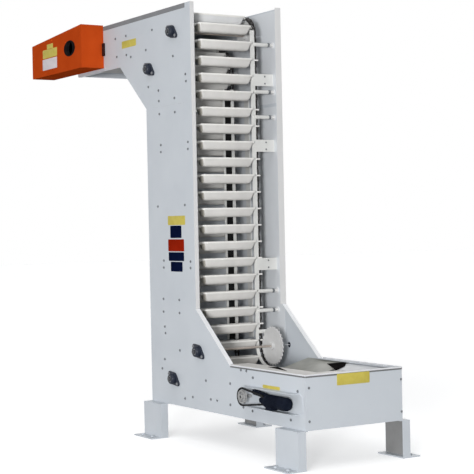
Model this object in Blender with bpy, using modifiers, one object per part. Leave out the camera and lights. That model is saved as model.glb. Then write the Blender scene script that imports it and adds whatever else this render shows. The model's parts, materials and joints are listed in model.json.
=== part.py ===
"""Bucket elevator with a level infeed, a vertical lift and a level head.

Axes: +X runs from the column towards the hopper, +Y across to the right panel, +Z up.
The origin is the middle of the bounding box at floor level.
All lengths are metres.
"""
import math

import bmesh
import bpy
from mathutils import Matrix, Vector

# Driving dimensions of the casing; X is counted from the front edge of the column
HALF_WIDTH = 0.475
SHEET = 0.005
LIP = 0.040
FIT = 0.0003
COLUMN_BACK = -0.840
FLOOR_GAP = 0.312
SEAM_Z = 3.010
TOP_Z = 3.885
HEAD_FLOOR_Z = 3.450
CHAMFER_X = -1.355
HEAD_END_X = -2.290
INFEED_TOP_Z = 0.738
INFEED_END_X = 1.660
SLANT_TOP_Z = 1.188
SLANT_END_X = 0.549
TOP_COVER_FRONT_X = -0.660
DISCHARGE_FRONT_X = -1.780

# Bucket loop
PITCH = 0.150
LOOP_Y = -0.060
CHAIN_INSET = 0.140
STRAND_Y = HALF_WIDTH - CHAIN_INSET
CHAIN_HEIGHT = 0.030
CHAIN_THICK = 0.008
FRONT_RUN_X = -0.160
REAR_RUN_X = -0.560
TOP_RUN_Z = 3.820
RETURN_RUN_Z = 3.570
INFEED_RUN_Z = 0.624
BOOT_RUN_Z = 0.400
INNER_RADIUS = 0.160
OUTER_RADIUS = 0.200
BOOT_RADIUS = 0.150
MARK_ROOM = 0.002
DRIVE_X = -1.970
INFEED_ROOM = 0.205
FIRST_BUCKET = 0.041
RUN_NAMES = ["front_low", "front_mid", "front_top", "head_front", "head_rear", "head_return",
             "rear_top", "rear_mid", "rear_low", "boot_rear", "boot_front", "infeed_front",
             "infeed_rear"]

# One bucket
BUCKET_END_ROOM = 0.045
BUCKET_END_TAPER = 0.028
BUCKET_HALF_LENGTH = STRAND_Y - BUCKET_END_ROOM
BUCKET_HALF_WIDTH = 0.070
BUCKET_FOOT_LENGTH = BUCKET_HALF_LENGTH - BUCKET_END_TAPER
BUCKET_FOOT_WIDTH = 0.042
BUCKET_DEPTH = 0.080
BUCKET_LIP_RISE = 0.012
BUCKET_WALL = 0.004
PIN_RADIUS = 0.005

# Shafts, sprockets and bearings
SHAFT_RADIUS = 0.020
TOOTH_DEPTH = 0.012
IDLER_CLEARANCE = 0.0055
ARC_STEP = 15.0
SPROCKET_THICK = 0.012
IDLER_TEETH = 28
PLAIN_TEETH = 12
BEARING_LENGTH = 0.176
BEARING_WIDTH = 0.100
FLANGE_THICK = 0.016
BOSS_RADIUS = 0.040
BOSS_LENGTH = 0.036
BEARING_TILT = math.radians(-30.0)

BEARING_NAMES = ["top_front", "top_inner", "boot_front", "boot_rear"]
EAR_RADIUS = 0.020
BORE_ROOM = 0.0006
SHAFT_STUB = 0.012
DRIVE_STUB = 0.150
END_ROOM = 0.001
HOLE_ROOM = 0.006
CUT_REACH = 0.020

# Cover sheets, hopper and chutes
SLOPE_ROOM = 0.012
RIM_ROOM = 0.004
CHUTE_SHEET = 0.004
CHUTE_TOP_ROOM = 0.008
CHUTE_BUCKET_ROOM = 0.020
CHUTE_OVERLAP = 0.030
CHUTE_BACK = 0.200
CHUTE_FRONT = 0.700

# Guide strips in front of the chains; heights count from the idler or from the top shaft
GUIDE_SHEET = 0.006
GUIDE_WIDTH = 0.046
GUIDE_INSET = 0.021
GUIDE_SIDE_ROOM = 0.0055
GUIDE_IDLER_ROOM = 0.160
GUIDE_TOP_RISE = 0.030
GUIDE_FOOT_END = 262.0
BRACKET_SHEET = 0.008
BRACKET_HEIGHT = 0.110
BRACKETS_ABOVE_IDLER = [0.736]
BRACKETS_BELOW_TOP = [1.020, 0.420]
STAY_RADIUS = 0.014
STAY_ROOM = 0.002
STAYS_ABOVE_IDLER = [0.123, 0.313, 0.490]
STAYS_BELOW_TOP = [0.760, 0.530, 0.100]

# Legs
LEG_LENGTH = 0.320
LEG_DEPTH = 0.075
LEG_WALL = 0.006
FOOT_THICK = 0.012
FOOT_REACH = 0.100
FOOT_MARGIN = 0.020
SEAT_INSET = 0.001
REAR_LEG_X = -0.866
FRONT_LEG_X = 1.345

# Drive guard and gear motor at the head
GUARD_FRONT_X = -1.700
GUARD_REAR_X = -2.880
GUARD_DEPTH = 0.240
GUARD_FLOOR_Z = 3.480
GUARD_FRONT_TOP_Z = 3.898
GUARD_REAR_TOP_Z = 3.818
GUARD_SHEET = 0.004
GUARD_HOLE_RADIUS = 0.076
MOTOR_X = -2.700
MOTOR_Z = 3.670
MOTOR_SHAFT_RADIUS = 0.016
MOTOR_SHAFT_ROOM = 0.006
MOTOR_SHAFT_REACH = 0.110
GEAR_SIZE = 0.160
BARREL_RADIUS = 0.070
BARREL_LENGTH = 0.280
MOUNT_SHEET = 0.010
MOUNT_INSET = 0.002
MOUNT_BELOW = 0.170
MOUNT_ABOVE = 0.130
MOUNT_SLOPE = 0.020
MOUNT_MARGIN = 0.160
ANGLE_SHEET = 0.009
ANGLE_REACH = 0.225
ANGLE_MARGIN = 0.010

# Small belt drive on the infeed
TRAY_REAR_X = 0.850
TRAY_FRONT_X = 1.630
TRAY_FLOOR_Z = 0.433
TRAY_TOP_Z = 0.597
TRAY_DEPTH = 0.075
PULLEY_X = 0.880
PULLEY_Z = 0.515
PULLEY_RADIUS = 0.056
SMALL_PULLEY_X = 1.170
SMALL_PULLEY_RADIUS = 0.022
BELT_THICK = 0.016
BELT_WIDTH = 0.012
BELT_GAP = 0.006
BELT_Y = 0.085
TRAY_SHEET = 0.004
TRAY_CORNER = 0.030
PULLEY_AXLE = 0.014
MOTOR_AXLE = 0.008
SMALL_MOTOR_RADIUS = 0.055
SMALL_MOTOR_LENGTH = 0.300
SMALL_GEAR_REAR = 0.045
SMALL_GEAR_FRONT = 0.055
SMALL_GEAR_BELOW = 0.050
SMALL_GEAR_ABOVE = 0.040
SMALL_GEAR_ROOM = 0.006
BARREL_ROOM = 0.004
BARREL_DROP = 0.006
TERMINAL_START = 0.020
TERMINAL_LENGTH = 0.080
TERMINAL_HALF_WIDTH = 0.035
TERMINAL_TOP_DROP = 0.020
TERMINAL_FLOOR_DROP = 0.066
PULLEY_STUB = 0.020
SMALL_PULLEY_STUB = 0.016
SMALL_AXLE_REACH = 0.040
AXLE_HOLE_ROOM = 0.005
TRAY_REAR_CUT = 0.060

# Middle of the bounding box, taken off every X and Y at the end
CENTRE_X = 0.5 * (GUARD_REAR_X + INFEED_END_X + SHEET + FIT)
RIGHT_REACH = HALF_WIDTH + LEG_DEPTH + FOOT_REACH
LEFT_REACH = HALF_WIDTH + FIT + GUARD_DEPTH
CENTRE_Y = 0.5 * (RIGHT_REACH - LEFT_REACH)

COLOURS = {
    "white_paint": ((0.72, 0.76, 0.80), 0.40, 0.0),
    "cream_paint": ((0.78, 0.76, 0.68), 0.45, 0.0),
    "bucket_cream": ((0.80, 0.76, 0.66), 0.40, 0.0),
    "chain_steel": ((0.10, 0.10, 0.11), 0.45, 0.8),
    "steel": ((0.55, 0.56, 0.58), 0.35, 1.0),
    "orange_paint": ((0.80, 0.20, 0.06), 0.40, 0.0),
    "dark_iron": ((0.03, 0.035, 0.05), 0.45, 0.0),
    "rubber": ((0.02, 0.02, 0.02), 0.70, 0.0),
    "chute_beige": ((0.62, 0.58, 0.50), 0.50, 0.0),
}


def clear_scene():
    """Empty the scene of objects."""
    for item in list(bpy.data.objects):
        bpy.data.objects.remove(item, do_unlink=True)


def new_collection(name):
    """Make a collection in the scene."""
    made = bpy.data.collections.new(name)
    bpy.context.scene.collection.children.link(made)
    return made


clear_scene()
PARTS = new_collection("bucket_elevator")
CUTTERS = new_collection("cutters")


def material(name):
    """Return the Principled material of one colour."""
    found = bpy.data.materials.get(name)
    if found:
        return found
    colour, roughness, metallic = COLOURS[name]
    made = bpy.data.materials.new(name)
    made.use_nodes = True
    shader = made.node_tree.nodes["Principled BSDF"]
    shader.inputs["Base Color"].default_value = (*colour, 1.0)
    shader.inputs["Roughness"].default_value = roughness
    shader.inputs["Metallic"].default_value = metallic
    return made


def add_object(name, mesh, colour, collection=None):
    """Link a mesh as a named object."""
    made = bpy.data.objects.new(name, mesh)
    (collection or PARTS).objects.link(made)
    mesh.materials.clear()
    mesh.materials.append(material(colour))
    return made


def mesh_from(name, shape):
    """Turn a bmesh into a mesh with its faces pointing out."""
    bmesh.ops.recalc_face_normals(shape, faces=shape.faces)
    made = bpy.data.meshes.new(name)
    shape.to_mesh(made)
    shape.free()
    return made


def box(name, low, high, colour="white_paint", collection=None):
    """Make a box between two corners, with its origin at its middle."""
    low = Vector(low)
    high = Vector(high)
    shape = bmesh.new()
    bmesh.ops.create_cube(shape, size=1.0, matrix=Matrix.Diagonal((*(high - low), 1.0)))
    made = add_object(name, mesh_from(name, shape), colour, collection)
    made.location = (low + high) / 2
    return made


def cylinder(name, radius, low, high, colour="steel", collection=None, sides=24):
    """Make a round bar between two points."""
    low = Vector(low)
    high = Vector(high)
    shape = bmesh.new()
    bmesh.ops.create_cone(shape, cap_ends=True, segments=sides, radius1=radius,
                          radius2=radius, depth=(high - low).length)
    made = add_object(name, mesh_from(name, shape), colour, collection)
    made.location = (low + high) / 2
    made.rotation_euler = (high - low).to_track_quat("Z", "Y").to_euler()
    made.data.shade_smooth()
    made.data.set_sharp_from_angle(angle=math.radians(40))
    return made


def plate(name, outline, low_y, high_y, colour="white_paint", collection=None):
    """Make a flat plate from an X-Z outline, between two values of Y."""
    curve = bpy.data.curves.new(name, "CURVE")
    curve.dimensions = "2D"
    curve.fill_mode = "BOTH"
    curve.extrude = (high_y - low_y) / 2
    line = curve.splines.new("POLY")
    line.points.add(len(outline) - 1)
    line.use_cyclic_u = True
    for point, (x, z) in zip(line.points, outline):
        point.co = (x, z, 0.0, 1.0)
    drawn = bpy.data.objects.new(name + "_outline", curve)
    bpy.context.scene.collection.objects.link(drawn)
    drawn.location = (0.0, (low_y + high_y) / 2, 0.0)
    drawn.rotation_euler = (math.pi / 2, 0.0, 0.0)
    bpy.context.view_layer.update()
    solid = bpy.data.meshes.new_from_object(drawn.evaluated_get(
        bpy.context.evaluated_depsgraph_get()))
    shape = bmesh.new()
    shape.from_mesh(solid)
    bmesh.ops.remove_doubles(shape, verts=shape.verts, dist=0.00001)
    bmesh.ops.recalc_face_normals(shape, faces=shape.faces)
    shape.to_mesh(solid)
    shape.free()
    made = add_object(name, solid, colour, collection)
    made.matrix_world = drawn.matrix_world.copy()
    bpy.data.objects.remove(drawn, do_unlink=True)
    return made


def as_cutter(item):
    """Keep an object as a tool of a Boolean only."""
    for collection in list(item.users_collection):
        collection.objects.unlink(item)
    CUTTERS.objects.link(item)
    item.hide_render = True
    item.display_type = "WIRE"
    return item


def boolean(body, tool, operation):
    """Join a tool to a body or take it away."""
    change = body.modifiers.new(operation.lower(), "BOOLEAN")
    change.operation = operation
    change.solver = "EXACT"
    change.object = as_cutter(tool)


def fuse(body, *tools):
    """Weld several shapes to a body."""
    for tool in tools:
        boolean(body, tool, "UNION")
    return body


def cut(body, *tools):
    """Take several shapes away from a body."""
    for tool in tools:
        boolean(body, tool, "DIFFERENCE")
    return body


def arc(centre, radius, start, end, steps):
    """Return points on an arc, angles in degrees from +X towards +Z."""
    points = []
    for step in range(steps + 1):
        angle = math.radians(start + (end - start) * step / steps)
        points.append((centre[0] + radius * math.cos(angle), centre[1] + radius * math.sin(angle)))
    return points


# The loop of the buckets

DRIVE_RADIUS = (TOP_RUN_Z - RETURN_RUN_Z) / 2
INFEED_RADIUS = (INFEED_RUN_Z - BOOT_RUN_Z) / 2
TOP_FRONT = (FRONT_RUN_X - INNER_RADIUS, TOP_RUN_Z - INNER_RADIUS)
TOP_INNER = (REAR_RUN_X - OUTER_RADIUS, RETURN_RUN_Z - OUTER_RADIUS)
BOOT_FRONT = (FRONT_RUN_X + OUTER_RADIUS, INFEED_RUN_Z + OUTER_RADIUS)
BOOT_REAR = (REAR_RUN_X + BOOT_RADIUS, BOOT_RUN_Z + BOOT_RADIUS)
DRIVE = (DRIVE_X, TOP_RUN_Z - DRIVE_RADIUS)


def loop_pieces(infeed_x):
    """Return the lines and arcs of the loop, from the foot of the front run upwards."""
    infeed = (infeed_x, BOOT_RUN_Z + INFEED_RADIUS)
    return [
        ("line", (FRONT_RUN_X, BOOT_FRONT[1]), (FRONT_RUN_X, TOP_FRONT[1])),
        ("arc", TOP_FRONT, INNER_RADIUS, 0.0, 90.0),
        ("line", (TOP_FRONT[0], TOP_RUN_Z), (DRIVE_X, TOP_RUN_Z)),
        ("arc", DRIVE, DRIVE_RADIUS, 90.0, 270.0),
        ("line", (DRIVE_X, RETURN_RUN_Z), (TOP_INNER[0], RETURN_RUN_Z)),
        ("arc", TOP_INNER, OUTER_RADIUS, 90.0, 0.0),
        ("line", (REAR_RUN_X, TOP_INNER[1]), (REAR_RUN_X, BOOT_REAR[1])),
        ("arc", BOOT_REAR, BOOT_RADIUS, 180.0, 270.0),
        ("line", (BOOT_REAR[0], BOOT_RUN_Z), (infeed_x, BOOT_RUN_Z)),
        ("arc", infeed, INFEED_RADIUS, -90.0, 90.0),
        ("line", (infeed_x, INFEED_RUN_Z), (BOOT_FRONT[0], INFEED_RUN_Z)),
        ("arc", BOOT_FRONT, OUTER_RADIUS, 270.0, 180.0),
    ]


def piece_length(piece):
    """Return the length of a line or an arc of the loop."""
    if piece[0] == "line":
        return math.dist(piece[1], piece[2])
    return piece[2] * math.radians(abs(piece[4] - piece[3]))


def loop_length(infeed_x):
    """Return the length of the whole loop."""
    return sum(piece_length(piece) for piece in loop_pieces(infeed_x))


# The infeed shaft is the take-up: it stands back from its foremost place until the loop holds
# whole pitches
FOREMOST_X = INFEED_END_X - INFEED_ROOM
RUN_SIZE = math.floor(loop_length(FOREMOST_X) / PITCH / len(RUN_NAMES))
BUCKET_COUNT = RUN_SIZE * len(RUN_NAMES)
INFEED_X = FOREMOST_X - (loop_length(FOREMOST_X) - BUCKET_COUNT * PITCH) / 2
INFEED = (INFEED_X, BOOT_RUN_Z + INFEED_RADIUS)
LOOP = loop_pieces(INFEED_X)


def on_loop(distance):
    """Return the point and the outward normal at a distance along the loop."""
    distance = distance % (BUCKET_COUNT * PITCH)
    for piece in LOOP:
        length = piece_length(piece)
        if distance <= length:
            break
        distance -= length
    if piece[0] == "line":
        start = Vector(piece[1])
        along = (Vector(piece[2]) - start).normalized()
        point = start + along * distance
    else:
        turn = 1.0 if piece[4] > piece[3] else -1.0
        angle = math.radians(piece[3]) + turn * distance / piece[2]
        point = Vector(piece[1]) + piece[2] * Vector((math.cos(angle), math.sin(angle)))
        along = turn * Vector((-math.sin(angle), math.cos(angle)))
    return point, Vector((along[1], -along[0]))


def stations(start, end):
    """Return the distances where the chain needs a point between two distances."""
    marks = [start, end]
    total = BUCKET_COUNT * PITCH
    for lap in (-total, 0.0, total):
        reached = lap
        for piece in LOOP:
            length = piece_length(piece)
            steps = 1
            if piece[0] == "arc":
                steps = round(abs(piece[4] - piece[3]) / ARC_STEP)
            marks += [reached + length * step / steps for step in range(steps + 1)]
            reached += length
    kept = sorted(mark for mark in marks if start <= mark <= end)
    spaced = [kept[0]]
    for mark in kept[1:]:
        if mark - spaced[-1] > MARK_ROOM:
            spaced.append(mark)
    return spaced


def trough(name, rim, foot, top, depth, thick, colour):
    """Make an open trough with sloping sides, its wall inside the given half sizes."""
    shape = bmesh.new()
    bmesh.ops.create_cube(shape, size=2.0)
    for point in shape.verts:
        upper = point.co.z > 0
        half = rim if upper else foot
        point.co.x *= half[0]
        point.co.y *= half[1]
        point.co.z = top if upper else top - depth
    lid = [face for face in shape.faces if face.normal.z > 0.5]
    bmesh.ops.delete(shape, geom=lid, context="FACES_ONLY")
    made = add_object(name, mesh_from(name, shape), colour)
    wall = made.modifiers.new("wall", "SOLIDIFY")
    wall.thickness = thick
    wall.offset = -1.0
    wall.use_even_offset = True
    return made


def pin_pair(shape, place):
    """Add the two pins of a bucket to a bmesh."""
    end_lean = (BUCKET_HALF_LENGTH - BUCKET_FOOT_LENGTH) * BUCKET_LIP_RISE / BUCKET_DEPTH
    inner = BUCKET_HALF_LENGTH - end_lean - BUCKET_WALL / 2
    outer = STRAND_Y
    for side in (-1, 1):
        middle = Vector((place[0], LOOP_Y + side * (inner + outer) / 2, place[1]))
        turned = Matrix.Translation(middle) @ Matrix.Rotation(math.pi / 2, 4, "X")
        bmesh.ops.create_cone(shape, cap_ends=True, segments=4, radius1=PIN_RADIUS,
                              radius2=PIN_RADIUS, depth=outer - inner, matrix=turned)


def strand(name, start, end, side):
    """Make one chain strand between two distances along the loop."""
    outer = []
    inner = []
    for mark in stations(start, end):
        point, normal = on_loop(mark)
        outer.append(tuple(point + normal * CHAIN_HEIGHT / 2))
        inner.append(tuple(point - normal * CHAIN_HEIGHT / 2))
    middle = LOOP_Y + side * STRAND_Y
    return plate(name, outer + inner[::-1], middle - CHAIN_THICK / 2, middle + CHAIN_THICK / 2,
                 "chain_steel")


def bucket_run(name, first, count):
    """Make a stretch of the loop: two strands joined by their buckets."""
    start = FIRST_BUCKET + (first - 0.5) * PITCH + FIT / 2
    end = FIRST_BUCKET + (first + count - 0.5) * PITCH - FIT / 2
    body = strand(name, start, end, -1)
    fuse(body, strand(name + "_right_strand", start, end, 1))
    pins = bmesh.new()
    buckets = []
    for index in range(first, first + count):
        place, _ = on_loop(FIRST_BUCKET + index * PITCH)
        pin_pair(pins, place)
        bucket = trough(f"{name}_bucket_{index}", (BUCKET_HALF_WIDTH, BUCKET_HALF_LENGTH),
                        (BUCKET_FOOT_WIDTH, BUCKET_FOOT_LENGTH), BUCKET_LIP_RISE, BUCKET_DEPTH,
                        BUCKET_WALL, "bucket_cream")
        bucket.location = (place[0], LOOP_Y, place[1])
        buckets.append(bucket)
    rods = add_object(name + "_pins", mesh_from(name + "_pins", pins), "bucket_cream")
    return fuse(body, rods, *buckets)


# Casing

def tray(name, outline, lips, side, lip=LIP, colour="white_paint", face_y=HALF_WIDTH,
         thick=SHEET, inward=1):
    """Make a sheet panel with turned lips along the named edges of its X-Z outline."""
    shape = bmesh.new()
    points = [shape.verts.new((x, side * face_y, z)) for x, z in outline]
    shape.faces.new(points)
    shape.edges.ensure_lookup_table()
    count = len(outline)
    turned = []
    for index in range(count):
        if lips[index]:
            turned.append(shape.edges.get((points[index], points[(index + 1) % count])))
    made = bmesh.ops.extrude_edge_only(shape, edges=turned)
    moved = [item for item in made["geom"] if isinstance(item, bmesh.types.BMVert)]
    bmesh.ops.translate(shape, verts=moved, vec=(0.0, -side * lip * inward, 0.0))
    bmesh.ops.recalc_face_normals(shape, faces=shape.faces)
    shape.faces.ensure_lookup_table()
    base = shape.faces[0]
    if base.normal.y * side * inward < 0:
        bmesh.ops.reverse_faces(shape, faces=shape.faces)
    made = bpy.data.meshes.new(name)
    shape.to_mesh(made)
    shape.free()
    panel = add_object(name, made, colour)
    wall = panel.modifiers.new("sheet", "SOLIDIFY")
    wall.thickness = thick
    wall.offset = -1.0
    wall.use_even_offset = True
    wall.use_quality_normals = True
    return panel


def head_outline():
    """Return the outline of a head panel, from its front foot round over the top."""
    return [(0.0, SEAM_Z + FIT / 2), (0.0, TOP_Z), (HEAD_END_X, TOP_Z),
            (HEAD_END_X, HEAD_FLOOR_Z), (CHAMFER_X, HEAD_FLOOR_Z),
            (COLUMN_BACK, SEAM_Z + FIT / 2)]


def body_outline():
    """Return the outline of a column and infeed panel, from its rear foot."""
    return [(COLUMN_BACK, FLOOR_GAP), (COLUMN_BACK, SEAM_Z - FIT / 2), (0.0, SEAM_Z - FIT / 2),
            (0.0, SLANT_TOP_Z), (SLANT_END_X, INFEED_TOP_Z), (INFEED_END_X, INFEED_TOP_Z),
            (INFEED_END_X, FLOOR_GAP)]


def shaft_hole(name, centre, side):
    """Make the cutter for a shaft through a side panel, close where no bearing carries it."""
    room = 2 * FIT if centre in (DRIVE, INFEED) else HOLE_ROOM
    return cylinder(name, SHAFT_RADIUS + room,
                    (centre[0], side * (HALF_WIDTH - CUT_REACH), centre[1]),
                    (centre[0], side * (HALF_WIDTH + CUT_REACH), centre[1]), sides=12)


SHAFTS = {
    "top_front": TOP_FRONT,
    "top_inner": TOP_INNER,
    "boot_front": BOOT_FRONT,
    "boot_rear": BOOT_REAR,
    "head_drive": DRIVE,
    "infeed": INFEED,
}
HEAD_SHAFTS = ["top_front", "top_inner", "head_drive"]
BODY_SHAFTS = ["boot_front", "boot_rear", "infeed"]


def side_panels():
    """Make the four sheets of the two sides."""
    for side, word in ((-1, "left"), (1, "right")):
        head = tray(f"{word}_head_panel", head_outline(), [1, 0, 1, 1, 1, 0], side)
        for name in HEAD_SHAFTS:
            cut(head, shaft_hole(f"{word}_{name}_hole", SHAFTS[name], side))
        body = tray(f"{word}_body_panel", body_outline(), [1, 0, 1, 1, 1, 1, 1], side)
        for name in BODY_SHAFTS:
            cut(body, shaft_hole(f"{word}_{name}_hole", SHAFTS[name], side))


def covers():
    """Make the sheets that close the top, back and bottom between the sides."""
    inner = HALF_WIDTH - SHEET - FIT
    gap = SHEET + FIT
    top = TOP_Z - gap
    box("head_top_cover", (HEAD_END_X + gap, -inner, top - SHEET),
        (TOP_COVER_FRONT_X, inner, top))
    box("head_end_cover", (HEAD_END_X + gap, -inner, HEAD_FLOOR_Z + gap),
        (HEAD_END_X + gap + SHEET, inner, top - SHEET - FIT))
    box("head_floor", (DISCHARGE_FRONT_X, -inner, HEAD_FLOOR_Z + gap),
        (CHAMFER_X - SLOPE_ROOM, inner, HEAD_FLOOR_Z + gap + SHEET))
    slope = Vector((COLUMN_BACK - CHAMFER_X, 0.0, SEAM_Z - HEAD_FLOOR_Z))
    along = slope.normalized()
    inward = Vector((-along.z, 0.0, along.x))
    start = Vector((CHAMFER_X, 0.0, HEAD_FLOOR_Z)) + along * SLOPE_ROOM + inward * gap
    end = Vector((COLUMN_BACK, 0.0, SEAM_Z)) - along * SLOPE_ROOM + inward * gap
    outline = [(start.x, start.z), (end.x, end.z),
               (end.x + inward.x * SHEET, end.z + inward.z * SHEET),
               (start.x + inward.x * SHEET, start.z + inward.z * SHEET)]
    plate("chamfer_cover", outline, -inner, inner)
    box("rear_cover", (COLUMN_BACK + gap, -inner, FLOOR_GAP + gap),
        (COLUMN_BACK + gap + SHEET, inner, SEAM_Z - SLOPE_ROOM))
    box("boot_floor", (COLUMN_BACK + gap + SHEET + FIT, -inner, FLOOR_GAP + gap),
        (INFEED_END_X - gap, inner, FLOOR_GAP + gap + SHEET))


def hopper():
    """Make the front sheet of the hopper and its two sloping chute plates."""
    face = INFEED_END_X + FIT
    front = box("hopper_front_panel", (face, -HALF_WIDTH, FLOOR_GAP),
                (face + SHEET, HALF_WIDTH, INFEED_TOP_Z))
    rim_half = HALF_WIDTH - LIP - RIM_ROOM
    rim = box("hopper_front_rim", (face - LIP, -rim_half, INFEED_TOP_Z - SHEET),
              (face + SHEET / 2, rim_half, INFEED_TOP_Z))
    fuse(front, rim)
    for side, word in ((-1, "left"), (1, "right")):
        wall = side * (HALF_WIDTH - SHEET - 2 * FIT)
        edge = LOOP_Y + side * (BUCKET_HALF_LENGTH - CHUTE_OVERLAP)
        high = INFEED_TOP_Z - SHEET - CHUTE_TOP_ROOM
        low = INFEED_RUN_Z + BUCKET_LIP_RISE + CHUTE_BUCKET_ROOM
        shape = bmesh.new()
        rear_x = SLANT_END_X - CHUTE_BACK
        front_x = INFEED_END_X - CHUTE_FRONT
        shape.faces.new([shape.verts.new(corner) for corner in (
            (rear_x, wall, high), (front_x, wall, high), (front_x, edge, low),
            (rear_x, edge, low))])
        chute = add_object(f"{word}_chute_plate", mesh_from(word + "_chute", shape), "chute_beige")
        sheet = chute.modifiers.new("sheet", "SOLIDIFY")
        sheet.thickness = CHUTE_SHEET
        sheet.offset = 1.0 if chute.data.polygons[0].normal.z > 0 else -1.0


def guide_outline(front):
    """Return the X-Z outline of a guide: straight up the run, curved round the idler below."""
    radius = OUTER_RADIUS - (front - FRONT_RUN_X)
    top = TOP_FRONT[1] + GUIDE_TOP_RISE
    outer = arc(BOOT_FRONT, radius, 180.0, GUIDE_FOOT_END, 7)
    inner = arc(BOOT_FRONT, radius - GUIDE_SHEET, 180.0, GUIDE_FOOT_END, 7)
    return [(front, top)] + outer + inner[::-1] + [(front + GUIDE_SHEET, top)]


def guides():
    """Make the flat guide strips of the front run, with their brackets and stays."""
    front = FRONT_RUN_X + CHAIN_HEIGHT / 2 + FIT
    back = front + GUIDE_SHEET
    stay_x = front + STAY_ROOM + STAY_RADIUS
    brackets = [BOOT_FRONT[1] + rise for rise in BRACKETS_ABOVE_IDLER]
    brackets += [TOP_FRONT[1] - drop for drop in BRACKETS_BELOW_TOP]
    stays = [BOOT_FRONT[1] + rise for rise in STAYS_ABOVE_IDLER]
    stays += [TOP_FRONT[1] - drop for drop in STAYS_BELOW_TOP]
    for side, word in ((-1, "left"), (1, "right")):
        middle = LOOP_Y + side * (STRAND_Y - GUIDE_INSET)
        near = middle - side * GUIDE_WIDTH / 2
        far = middle + side * GUIDE_WIDTH / 2
        beside = LOOP_Y + side * (STRAND_Y - SPROCKET_THICK / 2 - GUIDE_SIDE_ROOM)
        strip = plate(f"{word}_guide_strip", guide_outline(front), min(near, beside),
                      max(near, beside), "cream_paint")
        inside = near + side * FIT
        fuse(strip, box(f"{word}_guide_face",
                        (front + FIT, min(inside, far), BOOT_FRONT[1] + GUIDE_IDLER_ROOM),
                        (back - FIT, max(inside, far), TOP_FRONT[1] + GUIDE_TOP_RISE - FIT),
                        "cream_paint"))
        wall = side * (HALF_WIDTH - SHEET - FIT)
        for level in brackets:
            fuse(strip, box(f"{word}_bracket",
                            (back - BRACKET_SHEET / 2, min(middle, wall), level - BRACKET_HEIGHT / 2),
                            (back + BRACKET_SHEET / 2, max(middle, wall), level + BRACKET_HEIGHT / 2),
                            "cream_paint"))
        for level in stays:
            fuse(strip, cylinder(f"{word}_stay", STAY_RADIUS, (stay_x, middle, level),
                                 (stay_x, wall, level), "cream_paint", sides=6))


# Shafts and bearings

def sprocket(name, centre, radius, teeth, middle_y, clearance):
    """Make a toothed disc that reaches to the chain's inner edge on one corner."""
    flat_of_arc = math.cos(math.radians(ARC_STEP / 2))
    tip = (radius - CHAIN_HEIGHT / 2) * flat_of_arc - clearance
    root = tip - TOOTH_DEPTH
    outline = []
    for tooth in range(teeth):
        turn = 2 * math.pi * tooth / teeth
        step = 2 * math.pi / teeth
        for share, reach in ((-0.30, root), (0.00, tip), (0.30, root)):
            angle = turn + share * step
            outline.append((centre[0] + reach * math.cos(angle),
                            centre[1] + reach * math.sin(angle)))
    return plate(name, outline, middle_y - SPROCKET_THICK / 2, middle_y + SPROCKET_THICK / 2,
                 "steel")


def shafts():
    """Make each shaft with its two sprockets."""
    radii = {"top_front": INNER_RADIUS, "top_inner": OUTER_RADIUS, "boot_front": OUTER_RADIUS,
             "boot_rear": BOOT_RADIUS, "head_drive": DRIVE_RADIUS, "infeed": INFEED_RADIUS}
    reach = HALF_WIDTH + FLANGE_THICK + BOSS_LENGTH + SHAFT_STUB
    reaches = {"head_drive": (HALF_WIDTH + DRIVE_STUB, reach),
               "infeed": (HALF_WIDTH - END_ROOM, HALF_WIDTH - END_ROOM)}
    for name, centre in SHAFTS.items():
        left, right = reaches.get(name, (reach, reach))
        bar = cylinder(f"{name}_shaft", SHAFT_RADIUS, (centre[0], -left, centre[1]),
                       (centre[0], right, centre[1]), sides=12)
        idler = name == "boot_front"
        teeth = IDLER_TEETH if idler else PLAIN_TEETH
        clearance = IDLER_CLEARANCE if idler else FIT
        for side in (-1, 1):
            middle = LOOP_Y + side * STRAND_Y
            fuse(bar, sprocket(f"{name}_sprocket_{side}", centre, radii[name], teeth, middle,
                               clearance))


def flange_outline(centre):
    """Return the outline of a two-bolt diamond flange."""
    outline = []
    ear = BEARING_LENGTH / 2 - EAR_RADIUS
    for middle, radius, start, end in (
            (ear, EAR_RADIUS, -60, 60), (0.0, BEARING_WIDTH / 2, 65, 115),
            (-ear, EAR_RADIUS, 120, 240), (0.0, BEARING_WIDTH / 2, 245, 295)):
        for x, z in arc((middle, 0.0), radius, start, end, 2):
            outline.append((centre[0] + x * math.cos(BEARING_TILT) - z * math.sin(BEARING_TILT),
                            centre[1] + x * math.sin(BEARING_TILT) + z * math.cos(BEARING_TILT)))
    return outline


def bearings():
    """Make the flange bearings of the four corner shafts on both sides."""
    for name in BEARING_NAMES:
        centre = SHAFTS[name]
        for side, word in ((-1, "left"), (1, "right")):
            inner = side * (HALF_WIDTH + FIT)
            outer = side * (HALF_WIDTH + FIT + FLANGE_THICK)
            flange = plate(f"{name}_{word}_bearing", flange_outline(centre), min(inner, outer),
                           max(inner, outer), "dark_iron")
            boss = cylinder(f"{name}_{word}_boss", BOSS_RADIUS,
                            (centre[0], inner + side * FLANGE_THICK / 2, centre[1]),
                            (centre[0], outer + side * BOSS_LENGTH, centre[1]), "dark_iron",
                            sides=16)
            bore = cylinder(f"{name}_{word}_bore", SHAFT_RADIUS + BORE_ROOM,
                            (centre[0], inner - side * CUT_REACH, centre[1]),
                            (centre[0], outer + side * (BOSS_LENGTH + CUT_REACH), centre[1]),
                            sides=12)
            fuse(flange, boss)
            cut(flange, bore)


# Legs

def slab(name, x_ends, y_ends, z_ends):
    """Make a box from its two X, Y and Z values, in any order."""
    ends = [sorted(pair) for pair in (x_ends, y_ends, z_ends)]
    return box(name, [low for low, _ in ends], [high for _, high in ends])


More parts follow.
